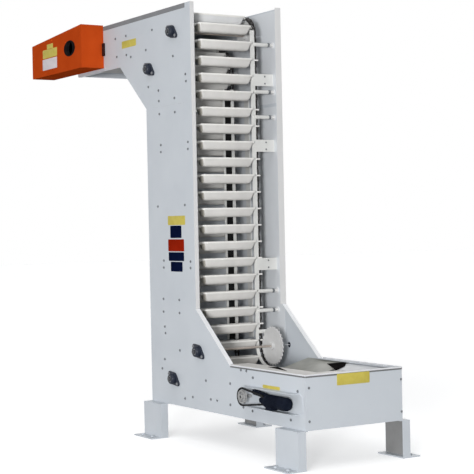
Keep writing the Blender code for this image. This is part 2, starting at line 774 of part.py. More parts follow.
def legs():
    """Make the four angle legs with their top and foot plates."""
    top = FLOOR_GAP - FIT
    height = (FOOT_THICK / 2, top - LEG_WALL / 2)
    for end, start in (("rear", REAR_LEG_X), ("front", FRONT_LEG_X)):
        stop = start + LEG_LENGTH
        for side, word in ((-1, "left"), (1, "right")):
            face = side * (HALF_WIDTH + LEG_DEPTH)
            inner = side * HALF_WIDTH
            leg = slab(f"{end}_{word}_leg", (start, stop), (face, face - side * LEG_WALL), height)
            fuse(leg,
                 slab("front_flange", (stop - LEG_WALL, stop), (face, inner), height),
                 slab("foot", (start - FOOT_MARGIN, stop), (face + side * FOOT_REACH, inner),
                      (0.0, FOOT_THICK)),
                 slab("seat", (start + SEAT_INSET, stop - SEAT_INSET),
                      (face - side * SEAT_INSET, inner - side * LIP / 2), (top - LEG_WALL, top)))


# Drive guard and gear motor

def head_drive():
    """Make the tapered guard, its backing plate and the gear motor."""
    outline = [(GUARD_FRONT_X, GUARD_FLOOR_Z), (GUARD_FRONT_X, GUARD_FRONT_TOP_Z),
               (GUARD_REAR_X, GUARD_REAR_TOP_Z), (GUARD_REAR_X, GUARD_FLOOR_Z)]
    guard = tray("drive_guard", outline, [1, 1, 1, 1], -1, lip=GUARD_DEPTH,
                 colour="orange_paint", face_y=HALF_WIDTH + FIT + GUARD_DEPTH, thick=GUARD_SHEET)
    face = -HALF_WIDTH - FIT - GUARD_DEPTH
    cut(guard, cylinder("guard_hole", GUARD_HOLE_RADIUS, (DRIVE[0], face - CUT_REACH, DRIVE[1]),
                        (DRIVE[0], face + CUT_REACH, DRIVE[1]), sides=24))
    outer = -HALF_WIDTH + MOUNT_INSET
    back = outer + MOUNT_SHEET
    start = HEAD_END_X - FIT
    stop = MOTOR_X - MOUNT_MARGIN
    low = MOTOR_Z - MOUNT_BELOW
    high = MOTOR_Z + MOUNT_ABOVE
    mount = plate("motor_mount_plate",
                  [(start, low), (start, high), (stop, high - MOUNT_SLOPE), (stop, low)],
                  outer, back)
    angle = box("motor_mount_angle", (start - END_ROOM - ANGLE_SHEET, outer + MOUNT_SHEET / 2,
                                      low + ANGLE_MARGIN),
                (start - END_ROOM, -HALF_WIDTH + ANGLE_REACH, high - ANGLE_MARGIN))
    fuse(mount, angle)
    cut(mount, cylinder("motor_shaft_hole", MOTOR_SHAFT_RADIUS + MOTOR_SHAFT_ROOM,
                        (MOTOR_X, outer - CUT_REACH, MOTOR_Z),
                        (MOTOR_X, back + CUT_REACH, MOTOR_Z), sides=16))
    half = GEAR_SIZE / 2
    gear = box("gear_motor", (MOTOR_X - half, back + FIT, MOTOR_Z - half),
               (MOTOR_X + half, back + GEAR_SIZE, MOTOR_Z + half), "dark_iron")
    rear = back + GEAR_SIZE
    fuse(gear,
         cylinder("motor_barrel", BARREL_RADIUS, (MOTOR_X, rear - MOUNT_SHEET, MOTOR_Z),
                  (MOTOR_X, rear + BARREL_LENGTH - MOUNT_SHEET, MOTOR_Z), "dark_iron"),
         cylinder("motor_shaft", MOTOR_SHAFT_RADIUS, (MOTOR_X, back + MOUNT_SHEET, MOTOR_Z),
                  (MOTOR_X, -HALF_WIDTH - MOTOR_SHAFT_REACH, MOTOR_Z), "dark_iron", sides=16))


# Belt drive

def belt_loop(extra):
    """Return the outline round both pulleys, at a distance outside the belt's inner face."""
    points = arc((PULLEY_X, PULLEY_Z), PULLEY_RADIUS + BELT_GAP + extra, 80, 280, 16)
    points += arc((SMALL_PULLEY_X, PULLEY_Z), SMALL_PULLEY_RADIUS + BELT_GAP + extra, -80, 80, 8)
    return points


def belt_drive():
    """Make the tray, both pulleys, the belt and the small motor."""
    wall = -HALF_WIDTH - FIT
    base = wall - TRAY_SHEET - FIT
    plane = wall - BELT_Y
    outline = [(TRAY_REAR_X, TRAY_TOP_Z), (TRAY_FRONT_X - TRAY_CORNER, TRAY_TOP_Z),
               (TRAY_FRONT_X, TRAY_TOP_Z - TRAY_CORNER), (TRAY_FRONT_X, TRAY_FLOOR_Z + TRAY_CORNER),
               (TRAY_FRONT_X - TRAY_CORNER, TRAY_FLOOR_Z),
               (TRAY_REAR_X + TRAY_REAR_CUT, TRAY_FLOOR_Z)]
    panel = tray("belt_tray", outline, [1, 0, 0, 0, 1, 0], -1, lip=TRAY_DEPTH,
                 face_y=-wall, thick=TRAY_SHEET, inward=-1)
    cut(panel, cylinder("tray_axle_hole", PULLEY_AXLE + AXLE_HOLE_ROOM,
                        (PULLEY_X, wall + CUT_REACH, PULLEY_Z),
                        (PULLEY_X, wall - CUT_REACH, PULLEY_Z), sides=16))
    pulley = cylinder("belt_pulley", PULLEY_RADIUS, (PULLEY_X, plane + BELT_WIDTH, PULLEY_Z),
                      (PULLEY_X, plane - BELT_WIDTH, PULLEY_Z), sides=32)
    fuse(pulley, cylinder("belt_pulley_axle", PULLEY_AXLE, (PULLEY_X, wall - FIT, PULLEY_Z),
                          (PULLEY_X, plane - PULLEY_STUB, PULLEY_Z), sides=16))
    small = cylinder("motor_pulley", SMALL_PULLEY_RADIUS,
                     (SMALL_PULLEY_X, plane + BELT_WIDTH, PULLEY_Z),
                     (SMALL_PULLEY_X, plane - BELT_WIDTH, PULLEY_Z), sides=24)
    fuse(small, cylinder("motor_pulley_axle", MOTOR_AXLE,
                         (SMALL_PULLEY_X, plane + SMALL_AXLE_REACH, PULLEY_Z),
                         (SMALL_PULLEY_X, plane - SMALL_PULLEY_STUB, PULLEY_Z), sides=12))
    belt = plate("drive_belt", belt_loop(BELT_THICK), plane - BELT_WIDTH / 2,
                 plane + BELT_WIDTH / 2, "rubber")
    cut(belt, plate("belt_inside", belt_loop(0.0), plane - BELT_WIDTH, plane + BELT_WIDTH, "rubber"))
    face = plane + BELT_WIDTH + SMALL_GEAR_ROOM
    gear = box("small_motor",
               (SMALL_PULLEY_X - SMALL_GEAR_REAR, face, PULLEY_Z - SMALL_GEAR_BELOW),
               (SMALL_PULLEY_X + SMALL_GEAR_FRONT, base, PULLEY_Z + SMALL_GEAR_ABOVE), "dark_iron")
    barrel_y = base - SMALL_MOTOR_RADIUS - BARREL_ROOM
    barrel_z = PULLEY_Z - BARREL_DROP
    start = SMALL_PULLEY_X + SMALL_GEAR_FRONT - BARREL_ROOM
    terminals = start + TERMINAL_START
    fuse(gear,
         cylinder("small_motor_barrel", SMALL_MOTOR_RADIUS, (start, barrel_y, barrel_z),
                  (start + SMALL_MOTOR_LENGTH, barrel_y, barrel_z), "dark_iron"),
         box("small_motor_terminals",
             (terminals, barrel_y - TERMINAL_HALF_WIDTH, barrel_z - TERMINAL_FLOOR_DROP),
             (terminals + TERMINAL_LENGTH, barrel_y + TERMINAL_HALF_WIDTH,
              barrel_z - TERMINAL_TOP_DROP), "dark_iron"))
    cut(gear, cylinder("small_motor_bore", MOTOR_AXLE + 2 * FIT,
                       (SMALL_PULLEY_X, face - SMALL_GEAR_ROOM, PULLEY_Z),
                       (SMALL_PULLEY_X, plane + SMALL_AXLE_REACH + SMALL_GEAR_ROOM, PULLEY_Z),
                       sides=12))


side_panels()
covers()
hopper()
guides()
shafts()
bearings()
legs()
head_drive()
belt_drive()
for number, run_name in enumerate(RUN_NAMES):
    bucket_run(f"bucket_run_{run_name}", number * RUN_SIZE, RUN_SIZE)

for item in list(PARTS.objects) + list(CUTTERS.objects):
    item.location.x -= CENTRE_X
    item.location.y -= CENTRE_Y
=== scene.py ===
"""Looks of the bucket elevator: finishes, buckets, chain, bearings, bolts, lights and camera."""

import json
import math

import bmesh
import bpy
from mathutils import Matrix, Vector


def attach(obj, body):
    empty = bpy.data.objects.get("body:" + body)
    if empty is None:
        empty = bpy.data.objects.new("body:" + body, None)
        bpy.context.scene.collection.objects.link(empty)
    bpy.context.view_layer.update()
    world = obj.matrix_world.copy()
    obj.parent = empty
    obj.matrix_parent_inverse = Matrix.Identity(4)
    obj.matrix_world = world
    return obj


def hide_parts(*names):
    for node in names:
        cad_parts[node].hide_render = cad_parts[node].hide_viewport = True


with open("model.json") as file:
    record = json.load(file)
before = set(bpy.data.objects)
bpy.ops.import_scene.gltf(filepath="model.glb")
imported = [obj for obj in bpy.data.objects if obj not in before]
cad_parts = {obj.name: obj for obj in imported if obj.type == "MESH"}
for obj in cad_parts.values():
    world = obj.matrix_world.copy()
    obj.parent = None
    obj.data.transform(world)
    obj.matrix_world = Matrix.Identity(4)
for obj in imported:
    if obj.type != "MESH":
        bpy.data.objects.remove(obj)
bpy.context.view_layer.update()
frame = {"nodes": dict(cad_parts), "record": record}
NODES = frame["nodes"]

# Casing coordinates count X from the column's front edge and Y from the middle of the casing
SHIFT = Vector((0.60735, 0.03265, 0.0))
HALF_WIDTH = 0.475

# What is laid on a sheet stands this far off it
LIFT = 0.0003

# Bucket loop, in casing coordinates: each shaft has its centre and its pitch radius
PITCH = 0.150
LOOP_Y = -0.060
STRAND_Y = 0.335
FRONT_RUN_X = -0.160
BUCKET_COUNT = 91
RUN_SIZE = 7
FIRST_BUCKET = 0.041
RUNS = ["front_low", "front_mid", "front_top", "head_front", "head_rear", "head_return",
        "rear_top", "rear_mid", "rear_low", "boot_rear", "boot_front", "infeed_front",
        "infeed_rear"]
SHAFTS = {
    "top_front": ((-0.320, 3.660), 0.160),
    "top_inner": ((-0.760, 3.370), 0.200),
    "boot_front": ((0.040, 0.824), 0.200),
    "boot_rear": ((-0.410, 0.550), 0.150),
    "head_drive": ((-1.970, 3.695), 0.125),
    "infeed": ((1.45209, 0.512), 0.112),
}
# The loop's arcs in the direction of travel: shaft, first and last angle in degrees
LOOP_ARCS = [("top_front", 0, 90), ("head_drive", 90, 270), ("top_inner", 90, 0),
             ("boot_rear", 180, 270), ("infeed", -90, 90), ("boot_front", 270, 180)]


def at(x, y, z):
    """Return a casing point in the frame's coordinates."""
    return Vector((x, y, z)) + SHIFT


# Finishes

def principled(name, colour, rough, metal=0.0):
    """Make a material and return it with its tree and shader."""
    made = bpy.data.materials.new(name)
    made.use_nodes = True
    tree = made.node_tree
    shader = tree.nodes["Principled BSDF"]
    shader.inputs["Base Color"].default_value = (*colour, 1.0)
    shader.inputs["Roughness"].default_value = rough
    shader.inputs["Metallic"].default_value = metal
    return made, tree, shader


def noise(tree, scale, detail=3.0, stretch=(1.0, 1.0, 1.0), rough=0.5):
    """Add a noise texture in object coordinates."""
    place = tree.nodes.new("ShaderNodeTexCoord")
    mapping = tree.nodes.new("ShaderNodeMapping")
    mapping.inputs["Scale"].default_value = stretch
    texture = tree.nodes.new("ShaderNodeTexNoise")
    texture.inputs["Scale"].default_value = scale
    texture.inputs["Detail"].default_value = detail
    texture.inputs["Roughness"].default_value = rough
    tree.links.new(place.outputs["Object"], mapping.inputs["Vector"])
    tree.links.new(mapping.outputs["Vector"], texture.inputs["Vector"])
    return texture.outputs["Fac"]


def spread(tree, source, low, high, out_low, out_high):
    """Map a range of a value to another one."""
    node = tree.nodes.new("ShaderNodeMapRange")
    node.inputs["From Min"].default_value = low
    node.inputs["From Max"].default_value = high
    node.inputs["To Min"].default_value = out_low
    node.inputs["To Max"].default_value = out_high
    tree.links.new(source, node.inputs["Value"])
    return node.outputs["Result"]


def mix_colour(tree, share, first, second):
    """Mix two colours by a value; either may be a socket."""
    node = tree.nodes.new("ShaderNodeMix")
    node.data_type = "RGBA"
    tree.links.new(share, node.inputs["Factor"])
    for socket, value in ((node.inputs[6], first), (node.inputs[7], second)):
        if isinstance(value, bpy.types.NodeSocket):
            tree.links.new(value, socket)
        else:
            socket.default_value = (*value, 1.0)
    return node.outputs[2]


def bump(tree, shader, height, strength, distance):
    """Raise a surface by a value."""
    node = tree.nodes.new("ShaderNodeBump")
    node.inputs["Strength"].default_value = strength
    node.inputs["Distance"].default_value = distance
    tree.links.new(height, node.inputs["Height"])
    tree.links.new(node.outputs["Normal"], shader.inputs["Normal"])


def finish(name, colour, dusty, rough, metal=0.0, cloud=2.5, grain=220.0, relief=0.12,
           specks=0.0, gleam=0.5):
    """Make a painted or cast finish: cloudy tone, fine grain, uneven gloss and a few specks."""
    made, tree, shader = principled(name, colour, rough, metal)
    shader.inputs["Specular IOR Level"].default_value = gleam
    clouds = noise(tree, cloud, 4.0)
    fine = noise(tree, grain, 2.0)
    share = spread(tree, clouds, 0.35, 0.70, 0.0, 1.0)
    base = mix_colour(tree, share, colour, dusty)
    if specks:
        spots = noise(tree, 60.0, 2.0, rough=0.6)
        mask = spread(tree, spots, 0.68, 0.76, 0.0, specks)
        base = mix_colour(tree, mask, base, tuple(0.45 * part for part in colour))
    tree.links.new(base, shader.inputs["Base Color"])
    gloss = spread(tree, clouds, 0.3, 0.7, rough - 0.06, rough + 0.08)
    tree.links.new(gloss, shader.inputs["Roughness"])
    bump(tree, shader, fine, relief, 0.0006)
    return made


def brushed(name, colour, dusty, rough, stretch):
    """Make bare metal with fine drawn lines and a dull film."""
    made, tree, shader = principled(name, colour, rough, 1.0)
    lines = noise(tree, 90.0, 3.0, stretch)
    film = noise(tree, 9.0, 4.0)
    base = mix_colour(tree, spread(tree, film, 0.4, 0.7, 0.0, 1.0), colour, dusty)
    tree.links.new(base, shader.inputs["Base Color"])
    tree.links.new(spread(tree, lines, 0.3, 0.7, rough - 0.08, rough + 0.12),
                   shader.inputs["Roughness"])
    bump(tree, shader, lines, 0.15, 0.0004)
    return made


FINISH = {
    "white_paint": finish("white_paint_coat", (0.565, 0.600, 0.640), (0.535, 0.570, 0.612), 0.42,
                          specks=0.12),
    "cream_paint": finish("cream_paint_coat", (0.72, 0.72, 0.70), (0.66, 0.66, 0.64), 0.45,
                          cloud=6.0),
    "bucket_cream": finish("bucket_cream_skin", (0.74, 0.725, 0.70), (0.68, 0.668, 0.645), 0.42,
                           cloud=9.0, grain=400.0, relief=0.08),
    "chain_steel": finish("chain_steel_oiled", (0.045, 0.043, 0.048), (0.10, 0.095, 0.09), 0.45,
                          metal=0.6, cloud=30.0, grain=300.0),
    "steel": brushed("steel_machined", (0.60, 0.61, 0.62), (0.50, 0.50, 0.50), 0.36,
                     (1.0, 6.0, 1.0)),
    "orange_paint": finish("orange_paint_coat", (0.53, 0.068, 0.010), (0.48, 0.058, 0.008), 0.80,
                           cloud=5.0, specks=0.2, gleam=0.0),
    "dark_iron": finish("dark_iron_coat", (0.008, 0.012, 0.024), (0.014, 0.019, 0.032), 0.38,
                        cloud=25.0, grain=160.0, relief=0.3, gleam=0.25),
    "rubber": finish("rubber_belt", (0.006, 0.006, 0.007), (0.014, 0.014, 0.014), 0.65,
                     cloud=30.0, grain=300.0, relief=0.25, gleam=0.1),
    "chute_beige": finish("chute_beige_sheet", (0.43, 0.43, 0.395), (0.35, 0.35, 0.32), 0.50,
                          cloud=7.0, specks=0.3),
}
RIM = finish("bucket_rim_skin", (0.87, 0.86, 0.83), (0.82, 0.81, 0.78), 0.42, cloud=9.0,
             grain=400.0, relief=0.08)
STEEL_PALE = finish("sprocket_pale", (0.60, 0.60, 0.60), (0.53, 0.53, 0.53), 0.45, cloud=12.0)
# A darker, browner copy of the bucket skin for the ends: painted shade
BUCKET_END_PAINTED_SHADE = finish("bucket_end_painted_shade", (0.48, 0.455, 0.40), (0.42, 0.40, 0.35), 0.50, cloud=9.0)
BUCKET_TOP = finish("bucket_top_skin", (0.76, 0.77, 0.78), (0.70, 0.71, 0.72), 0.45, cloud=9.0)
SHAFT_DULL = finish("shaft_dull", (0.40, 0.35, 0.31), (0.34, 0.30, 0.27), 0.50, cloud=20.0)
SHAFT_DARK = finish("shaft_dark", (0.060, 0.062, 0.070), (0.045, 0.047, 0.055), 0.40, metal=0.4,
                    cloud=20.0)
# A whiter copy of the panel paint on the column's front lips: painted highlight
LIP_PAINTED_HIGHLIGHT = finish("lip_painted_highlight", (0.70, 0.70, 0.70), (0.66, 0.66, 0.66), 0.42)
# Paler copies of the panel paint for the rear and side walls inside the shaft: painted light
REAR_PAINTED_LIGHT = finish("rear_painted_light", (0.76, 0.79, 0.83), (0.72, 0.75, 0.79), 0.45)
WALL_PAINTED_LIGHT = finish("wall_painted_light", (0.655, 0.68, 0.71), (0.62, 0.645, 0.675), 0.45)
MOTOR_BLACK = finish("motor_black", (0.006, 0.008, 0.016), (0.010, 0.013, 0.022), 0.60,
                     cloud=25.0, relief=0.3, gleam=0.02)
RIM_WHITE = finish("rim_white", (0.74, 0.75, 0.77), (0.70, 0.71, 0.73), 0.42)
# Dark grey for the line under the infeed's rim strips: painted shadow of the strips' overhang
RIM_PAINTED_SHADOW = finish("rim_painted_shadow", (0.15, 0.155, 0.16), (0.12, 0.125, 0.13), 0.60, cloud=12.0)
BAND_GREY = finish("band_grey", (0.23, 0.235, 0.245), (0.20, 0.205, 0.215), 0.60, cloud=6.0,
                   gleam=0.2)
LATCH = finish("latch_dark", (0.030, 0.010, 0.010), (0.045, 0.016, 0.014), 0.50, cloud=20.0,
               gleam=0.0)
# A near-white copy of the panel paint for the slanted lips and the hopper's apron: painted
# highlight of faces that look up
SLANT_PAINTED_HIGHLIGHT = finish("slant_painted_highlight", (0.88, 0.89, 0.91), (0.85, 0.86, 0.88), 0.42)
# Dark grey on the undersides of the head: painted shade where the light does not reach
UNDERSIDE_PAINTED_SHADE = finish("underside_painted_shade", (0.33, 0.33, 0.325), (0.28, 0.28, 0.275), 0.60, cloud=6.0,
                    gleam=0.2)
WHEEL_GREY = finish("wheel_grey", (0.36, 0.36, 0.36), (0.26, 0.26, 0.26), 0.50, cloud=30.0,
                    gleam=0.3)
FLANGE_CREAM = finish("flange_cream", (0.72, 0.70, 0.67), (0.66, 0.64, 0.61), 0.50, cloud=7.0)
LEG_SHADE = finish("leg_shade", (0.30, 0.30, 0.30), (0.26, 0.26, 0.26), 0.60, cloud=6.0,
                   gleam=0.2)
# Black for the shaded hollows in the hopper and round the guard's hole: painted shade
PAINTED_SHADE_BLACK = finish("painted_shade_black", (0.010, 0.009, 0.010), (0.020, 0.018, 0.018), 0.70, cloud=20.0,
                    gleam=0.0)
ZINC = finish("bolt_zinc", (0.22, 0.235, 0.25), (0.16, 0.17, 0.18), 0.40, metal=0.6, cloud=40.0)
YELLOW = finish("plate_yellow", (0.58, 0.49, 0.10), (0.52, 0.43, 0.08), 0.55, cloud=20.0,
                gleam=0.2)
NAVY = finish("plate_navy", (0.003, 0.006, 0.028), (0.004, 0.008, 0.034), 0.60, cloud=20.0,
              gleam=0.0)
RED = finish("plate_red", (0.30, 0.016, 0.004), (0.26, 0.013, 0.003), 0.60, cloud=20.0,
             gleam=0.0)
PALE = finish("plate_pale", (0.68, 0.62, 0.65), (0.60, 0.55, 0.58), 0.45, cloud=20.0)

for entry in frame["record"]["subparts"]:
    part = NODES[entry["node"]]
    look = FINISH[entry["material_slot"]]
    # The head's floor and its chamfer cover take the painted shade of undersides
    if entry["node"] in ("head_floor", "chamfer_cover"):
        look = UNDERSIDE_PAINTED_SHADE
    for slot in part.material_slots:
        slot.material = look


# Mesh helpers

def piece(name, shape, look, body="frame", replaced=(), smooth=32.0, more=()):
    """Turn a bmesh in frame coordinates into a piece that rides on a body."""
    bmesh.ops.recalc_face_normals(shape, faces=shape.faces)
    mesh = bpy.data.meshes.new(name)
    shape.to_mesh(mesh)
    shape.free()
    for item in (look, *more):
        mesh.materials.append(item)
    made = bpy.data.objects.new(name, mesh)
    bpy.context.scene.collection.objects.link(made)
    mesh.shade_smooth()
    mesh.set_sharp_from_angle(angle=math.radians(smooth))
    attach(made, body)
    if replaced:
        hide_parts(*replaced)
    return made


def loft(shape, rings, first_cap=True, last_cap=True):
    """Join rings of points of the same count by quads, with flat ends."""
    rows = [[shape.verts.new(point) for point in ring] for ring in rings]
    count = len(rows[0])
    for low, high in zip(rows, rows[1:]):
        for index in range(count):
            after = (index + 1) % count
            shape.faces.new((low[index], low[after], high[after], high[index]))
    if first_cap:
        shape.faces.new(rows[0][::-1])
    if last_cap:
        shape.faces.new(rows[-1])


def wrap(shape, rings):
    """Join rings of points by quads, the last ring back to the first."""
    rows = [[shape.verts.new(point) for point in ring] for ring in rings]
    for index, row in enumerate(rows):
        after = rows[(index + 1) % len(rows)]
        for k in range(len(row)):
            shape.faces.new((row[k], row[(k + 1) % len(row)], after[(k + 1) % len(row)],
                             after[k]))


def across(axis):
    """Return two directions square to an axis."""
    axis = Vector(axis).normalized()
    other = Vector((0.0, 0.0, 1.0)) if abs(axis.z) < 0.9 else Vector((1.0, 0.0, 0.0))
    first = axis.cross(other).normalized()
    return first, axis.cross(first)


def lathe(shape, origin, axis, profile, sides=24, turn=0.0, caps=(True, True)):
    """Turn a profile of (distance along the axis, radius) pairs about an axis."""
    axis = Vector(axis).normalized()
    first, second = across(axis)
    rings = []
    for along, radius in profile:
        middle = Vector(origin) + axis * along
        ring = []
        for step in range(sides):
            angle = turn + 2 * math.pi * step / sides
            ring.append(middle + radius * (math.cos(angle) * first + math.sin(angle) * second))
        rings.append(ring)
    loft(shape, rings, *caps)


def rod(shape, start, end, radius, sides=12, edge=0.0):
    """Make a round bar with eased ends."""
    start = Vector(start)
    end = Vector(end)
    length = (end - start).length
    if edge:
        profile = [(0.0, radius - edge), (edge, radius), (length - edge, radius),
                   (length, radius - edge)]
    else:
        profile = [(0.0, radius), (length, radius)]
    lathe(shape, start, end - start, profile, sides)


def block(shape, low, high, edge=0.001):
    """Make a box with eased edges."""
    low = Vector(low)
    high = Vector(high)
    made = bmesh.ops.create_cube(shape, size=1.0, matrix=Matrix.Translation((low + high) / 2)
                                 @ Matrix.Diagonal((*(high - low), 1.0)))
    if edge:
        edges = list({item for point in made["verts"] for item in point.link_edges})
        bmesh.ops.bevel(shape, geom=edges, offset=edge, segments=1, affect="EDGES")


def bolt(shape, head, axis, size=0.010, washer=True):
    """Make a hexagon bolt head on a washer, standing up from a surface point."""
    if washer:
        lathe(shape, head, axis, [(0.0, size * 1.35), (size * 0.18, size * 1.35),
                                  (size * 0.22, size * 1.25)], 14)
    lathe(shape, Vector(head) + Vector(axis) * size * 0.2, axis,
          [(0.0, size), (size * 0.52, size), (size * 0.66, size * 0.86)], 6)


def extrude_y(shape, outline, low_y, high_y, ease=0.001):
    """Make a plate from an X-Z outline in casing coordinates, its edges eased on both faces."""
    points = [Vector(point) for point in outline]
    count = len(points)
    area = sum(points[i].x * points[(i + 1) % count].y - points[(i + 1) % count].x * points[i].y
               for i in range(count))
    turn = 1.0 if area > 0 else -1.0

    def inset(amount):
        moved = []
        for index, point in enumerate(points):
            before = (point - points[index - 1]).normalized()
            after = (points[(index + 1) % count] - point).normalized()
            normal = Vector((-(before.y + after.y), before.x + after.x)) * turn
            length = normal.length
            normal = normal / length if length > 1e-6 else Vector((0.0, 0.0))
            half = max(0.5, math.sqrt(max(0.0, (1 + before.dot(after)) / 2)))
            moved.append(point + normal * amount / half)
        return moved

    rings = []
    for y, amount in ((low_y, ease), (low_y + ease, 0.0), (high_y - ease, 0.0), (high_y, ease)):
        rings.append([at(point.x, y, point.y) for point in inset(amount)])
    loft(shape, rings)


# The bucket loop

def on_circle(shaft, angle):
    """Return the X-Z point of a shaft's pitch circle at an angle in degrees."""
    (x, z), radius = SHAFTS[shaft]
    turn = math.radians(angle)
    return (x + radius * math.cos(turn), z + radius * math.sin(turn))


def loop_path():
    """Return the lines and arcs of the loop, from the foot of the front run on."""
    path = []
    last_shaft, _, last_angle = LOOP_ARCS[-1]
    for shaft, first, last in LOOP_ARCS:
        path.append(("line", on_circle(last_shaft, last_angle), on_circle(shaft, first)))
        path.append(("arc", *SHAFTS[shaft], first, last))
        last_shaft, last_angle = shaft, last
    return path


LOOP = loop_path()


def piece_length(part):
    """Return the length of a line or an arc of the loop."""
    if part[0] == "line":
        return math.dist(part[1], part[2])
    return part[2] * math.radians(abs(part[4] - part[3]))


def on_loop(distance):
    """Return the X-Z point at a distance along the loop."""
    distance = distance % (BUCKET_COUNT * PITCH)
    for part in LOOP:
        length = piece_length(part)
        if distance <= length:
            break
        distance -= length
    if part[0] == "line":
        start = Vector(part[1])
        along = (Vector(part[2]) - start).normalized()
        return start + along * distance
    turn = 1.0 if part[4] > part[3] else -1.0
    angle = math.radians(part[3]) + turn * distance / part[2]
    return Vector(part[1]) + part[2] * Vector((math.cos(angle), math.sin(angle)))


def rounded_ring(half_x, half_y, radius, z, corner_steps=3):
    """Return the points of a rounded rectangle about the origin."""
    ring = []
    for sign_x, sign_y, start in ((1, 1, 0), (-1, 1, 90), (-1, -1, 180), (1, -1, 270)):
        for step in range(corner_steps + 1):
            angle = math.radians(start + 90 * step / corner_steps)
            ring.append(Vector((sign_x * (half_x - radius) + radius * math.cos(angle),
                                sign_y * (half_y - radius) + radius * math.sin(angle), z)))
    return ring


BUCKET_Y = -0.045
PIN_RADIUS = 0.009
PIN_REACH = 0.029
BOSS_RADIUS = 0.014

# The bucket on the arc at the top of the front run, whose skin is paler
TOP_BUCKET = 20

# Rings of a bucket and its rim: half width, half length, corner radius, height
BUCKET_INSIDE = [
    (0.0600, 0.2650, 0.016, 0.0060),
    (0.0585, 0.2635, 0.016, -0.0030),
    (0.0470, 0.2500, 0.022, -0.0480),
    (0.0400, 0.2400, 0.020, -0.0600),
    (0.0280, 0.2240, 0.014, -0.0660),
]
BUCKET_OUTSIDE = [
    (0.0625, 0.2675, 0.017, 0.0060),
    (0.0620, 0.2670, 0.018, -0.0030),
    (0.0500, 0.2530, 0.024, -0.0500),
    (0.0430, 0.2430, 0.024, -0.0630),
    (0.0310, 0.2270, 0.018, -0.0700),
]
RIM_RINGS = [
    (0.0605, 0.2655, 0.015, -0.0030),
    (0.0685, 0.2735, 0.017, -0.0030),
    (0.0700, 0.2750, 0.018, -0.0010),
    (0.0700, 0.2750, 0.018, 0.0090),
    (0.0685, 0.2735, 0.017, 0.0120),
    (0.0620, 0.2670, 0.015, 0.0120),
    (0.0600, 0.2650, 0.014, 0.0090),
]


def bucket(shape, rims, place, pale):
    """Make one open bucket with rounded corners, and its rolled rim in a second mesh.

    The ends of the bucket take the second material, a painted shade of the ends, and the whole of
    a pale one the third.
    """
    middle = at(place[0], BUCKET_Y, place[1])
    inside = [[middle + point for point in rounded_ring(*size)] for size in BUCKET_INSIDE]
    outside = [[middle + point for point in rounded_ring(*size)] for size in BUCKET_OUTSIDE]
    before = len(shape.faces)
    loft(shape, outside[::-1] + inside)
    shape.faces.ensure_lookup_table()
    for face in shape.faces[before:]:
        face.normal_update()
        if pale:
            face.material_index = 2
        # Faces that look to the sides get the painted shade of the ends
        elif abs(face.normal.y) > 0.75:
            face.material_index = 1
    wrap(rims, [[middle + point for point in rounded_ring(*size)] for size in RIM_RINGS])


def bucket_ends(shape, place):
    """Make the pins and bosses of one bucket, and its hanger plate on the front run."""
    for side in (-1, 1):
        inner = BUCKET_Y + side * 0.269
        outer = LOOP_Y + side * (STRAND_Y + PIN_REACH)
        rod(shape, at(place[0], inner, place[1]), at(place[0], outer, place[1]), PIN_RADIUS, 12,
            0.001)
        rod(shape, at(place[0], BUCKET_Y + side * 0.2755, place[1]),
            at(place[0], BUCKET_Y + side * 0.2850, place[1]), BOSS_RADIUS, 12, 0.002)
    if abs(place[0] - FRONT_RUN_X) < 0.001:
        block(shape, at(place[0] + 0.0158, 0.2785, place[1] - 0.003),
              at(place[0] + 0.0218, 0.3150, place[1] + 0.010), 0.001)


for number, run in enumerate(RUNS):
    troughs = bmesh.new()
    rims = bmesh.new()
    ends = bmesh.new()
    for index in range(number * RUN_SIZE, (number + 1) * RUN_SIZE):
        spot = on_loop(FIRST_BUCKET + index * PITCH)
        bucket(troughs, rims, spot, index == TOP_BUCKET)
        bucket_ends(ends, spot)
    piece(f"buckets_{run}", troughs, FINISH["bucket_cream"],
          replaced=[f"bucket_run_{run}"], smooth=40.0, more=(BUCKET_END_PAINTED_SHADE, BUCKET_TOP))
    piece(f"bucket_rims_{run}", rims, RIM, smooth=50.0)
    piece(f"bucket_pins_{run}", ends, RIM)


# The two chain strands

CHAIN_SHIFT = 0.009
LINKS_PER_PITCH = 3
LINK = PITCH / LINKS_PER_PITCH
PLATE_HALF = 0.0013
INNER_PLATE_Y = 0.0145
OUTER_PLATE_Y = 0.0175
LINK_RADIUS = 0.0145
LINK_WAIST = 0.0110

# Half length, radius and sides of a link's pin and of its roller
LINK_BARS = ((0.0200, 0.0045, 8), (0.0125, 0.0105, 12))


def link_plate(shape, start, end, middle_y):
    """Make one waisted link plate between two pins."""
    along = (end - start).normalized()
    normal = Vector((-along.y, along.x))
    outline = []
    for centre, base in ((end, 0.0), (start, 180.0)):
        for angle in (-75.0, -25.0, 25.0, 75.0):
            turn = math.radians(base + angle)
            outline.append(centre + LINK_RADIUS * (math.cos(turn) * along
                                                   + math.sin(turn) * normal))
        sign = 1 if base == 0.0 else -1
        outline.append((start + end) / 2 + sign * LINK_WAIST * normal)
    loft(shape, [[at(point.x, y, point.y) for point in outline]
                 for y in (middle_y - PLATE_HALF, middle_y + PLATE_HALF)])


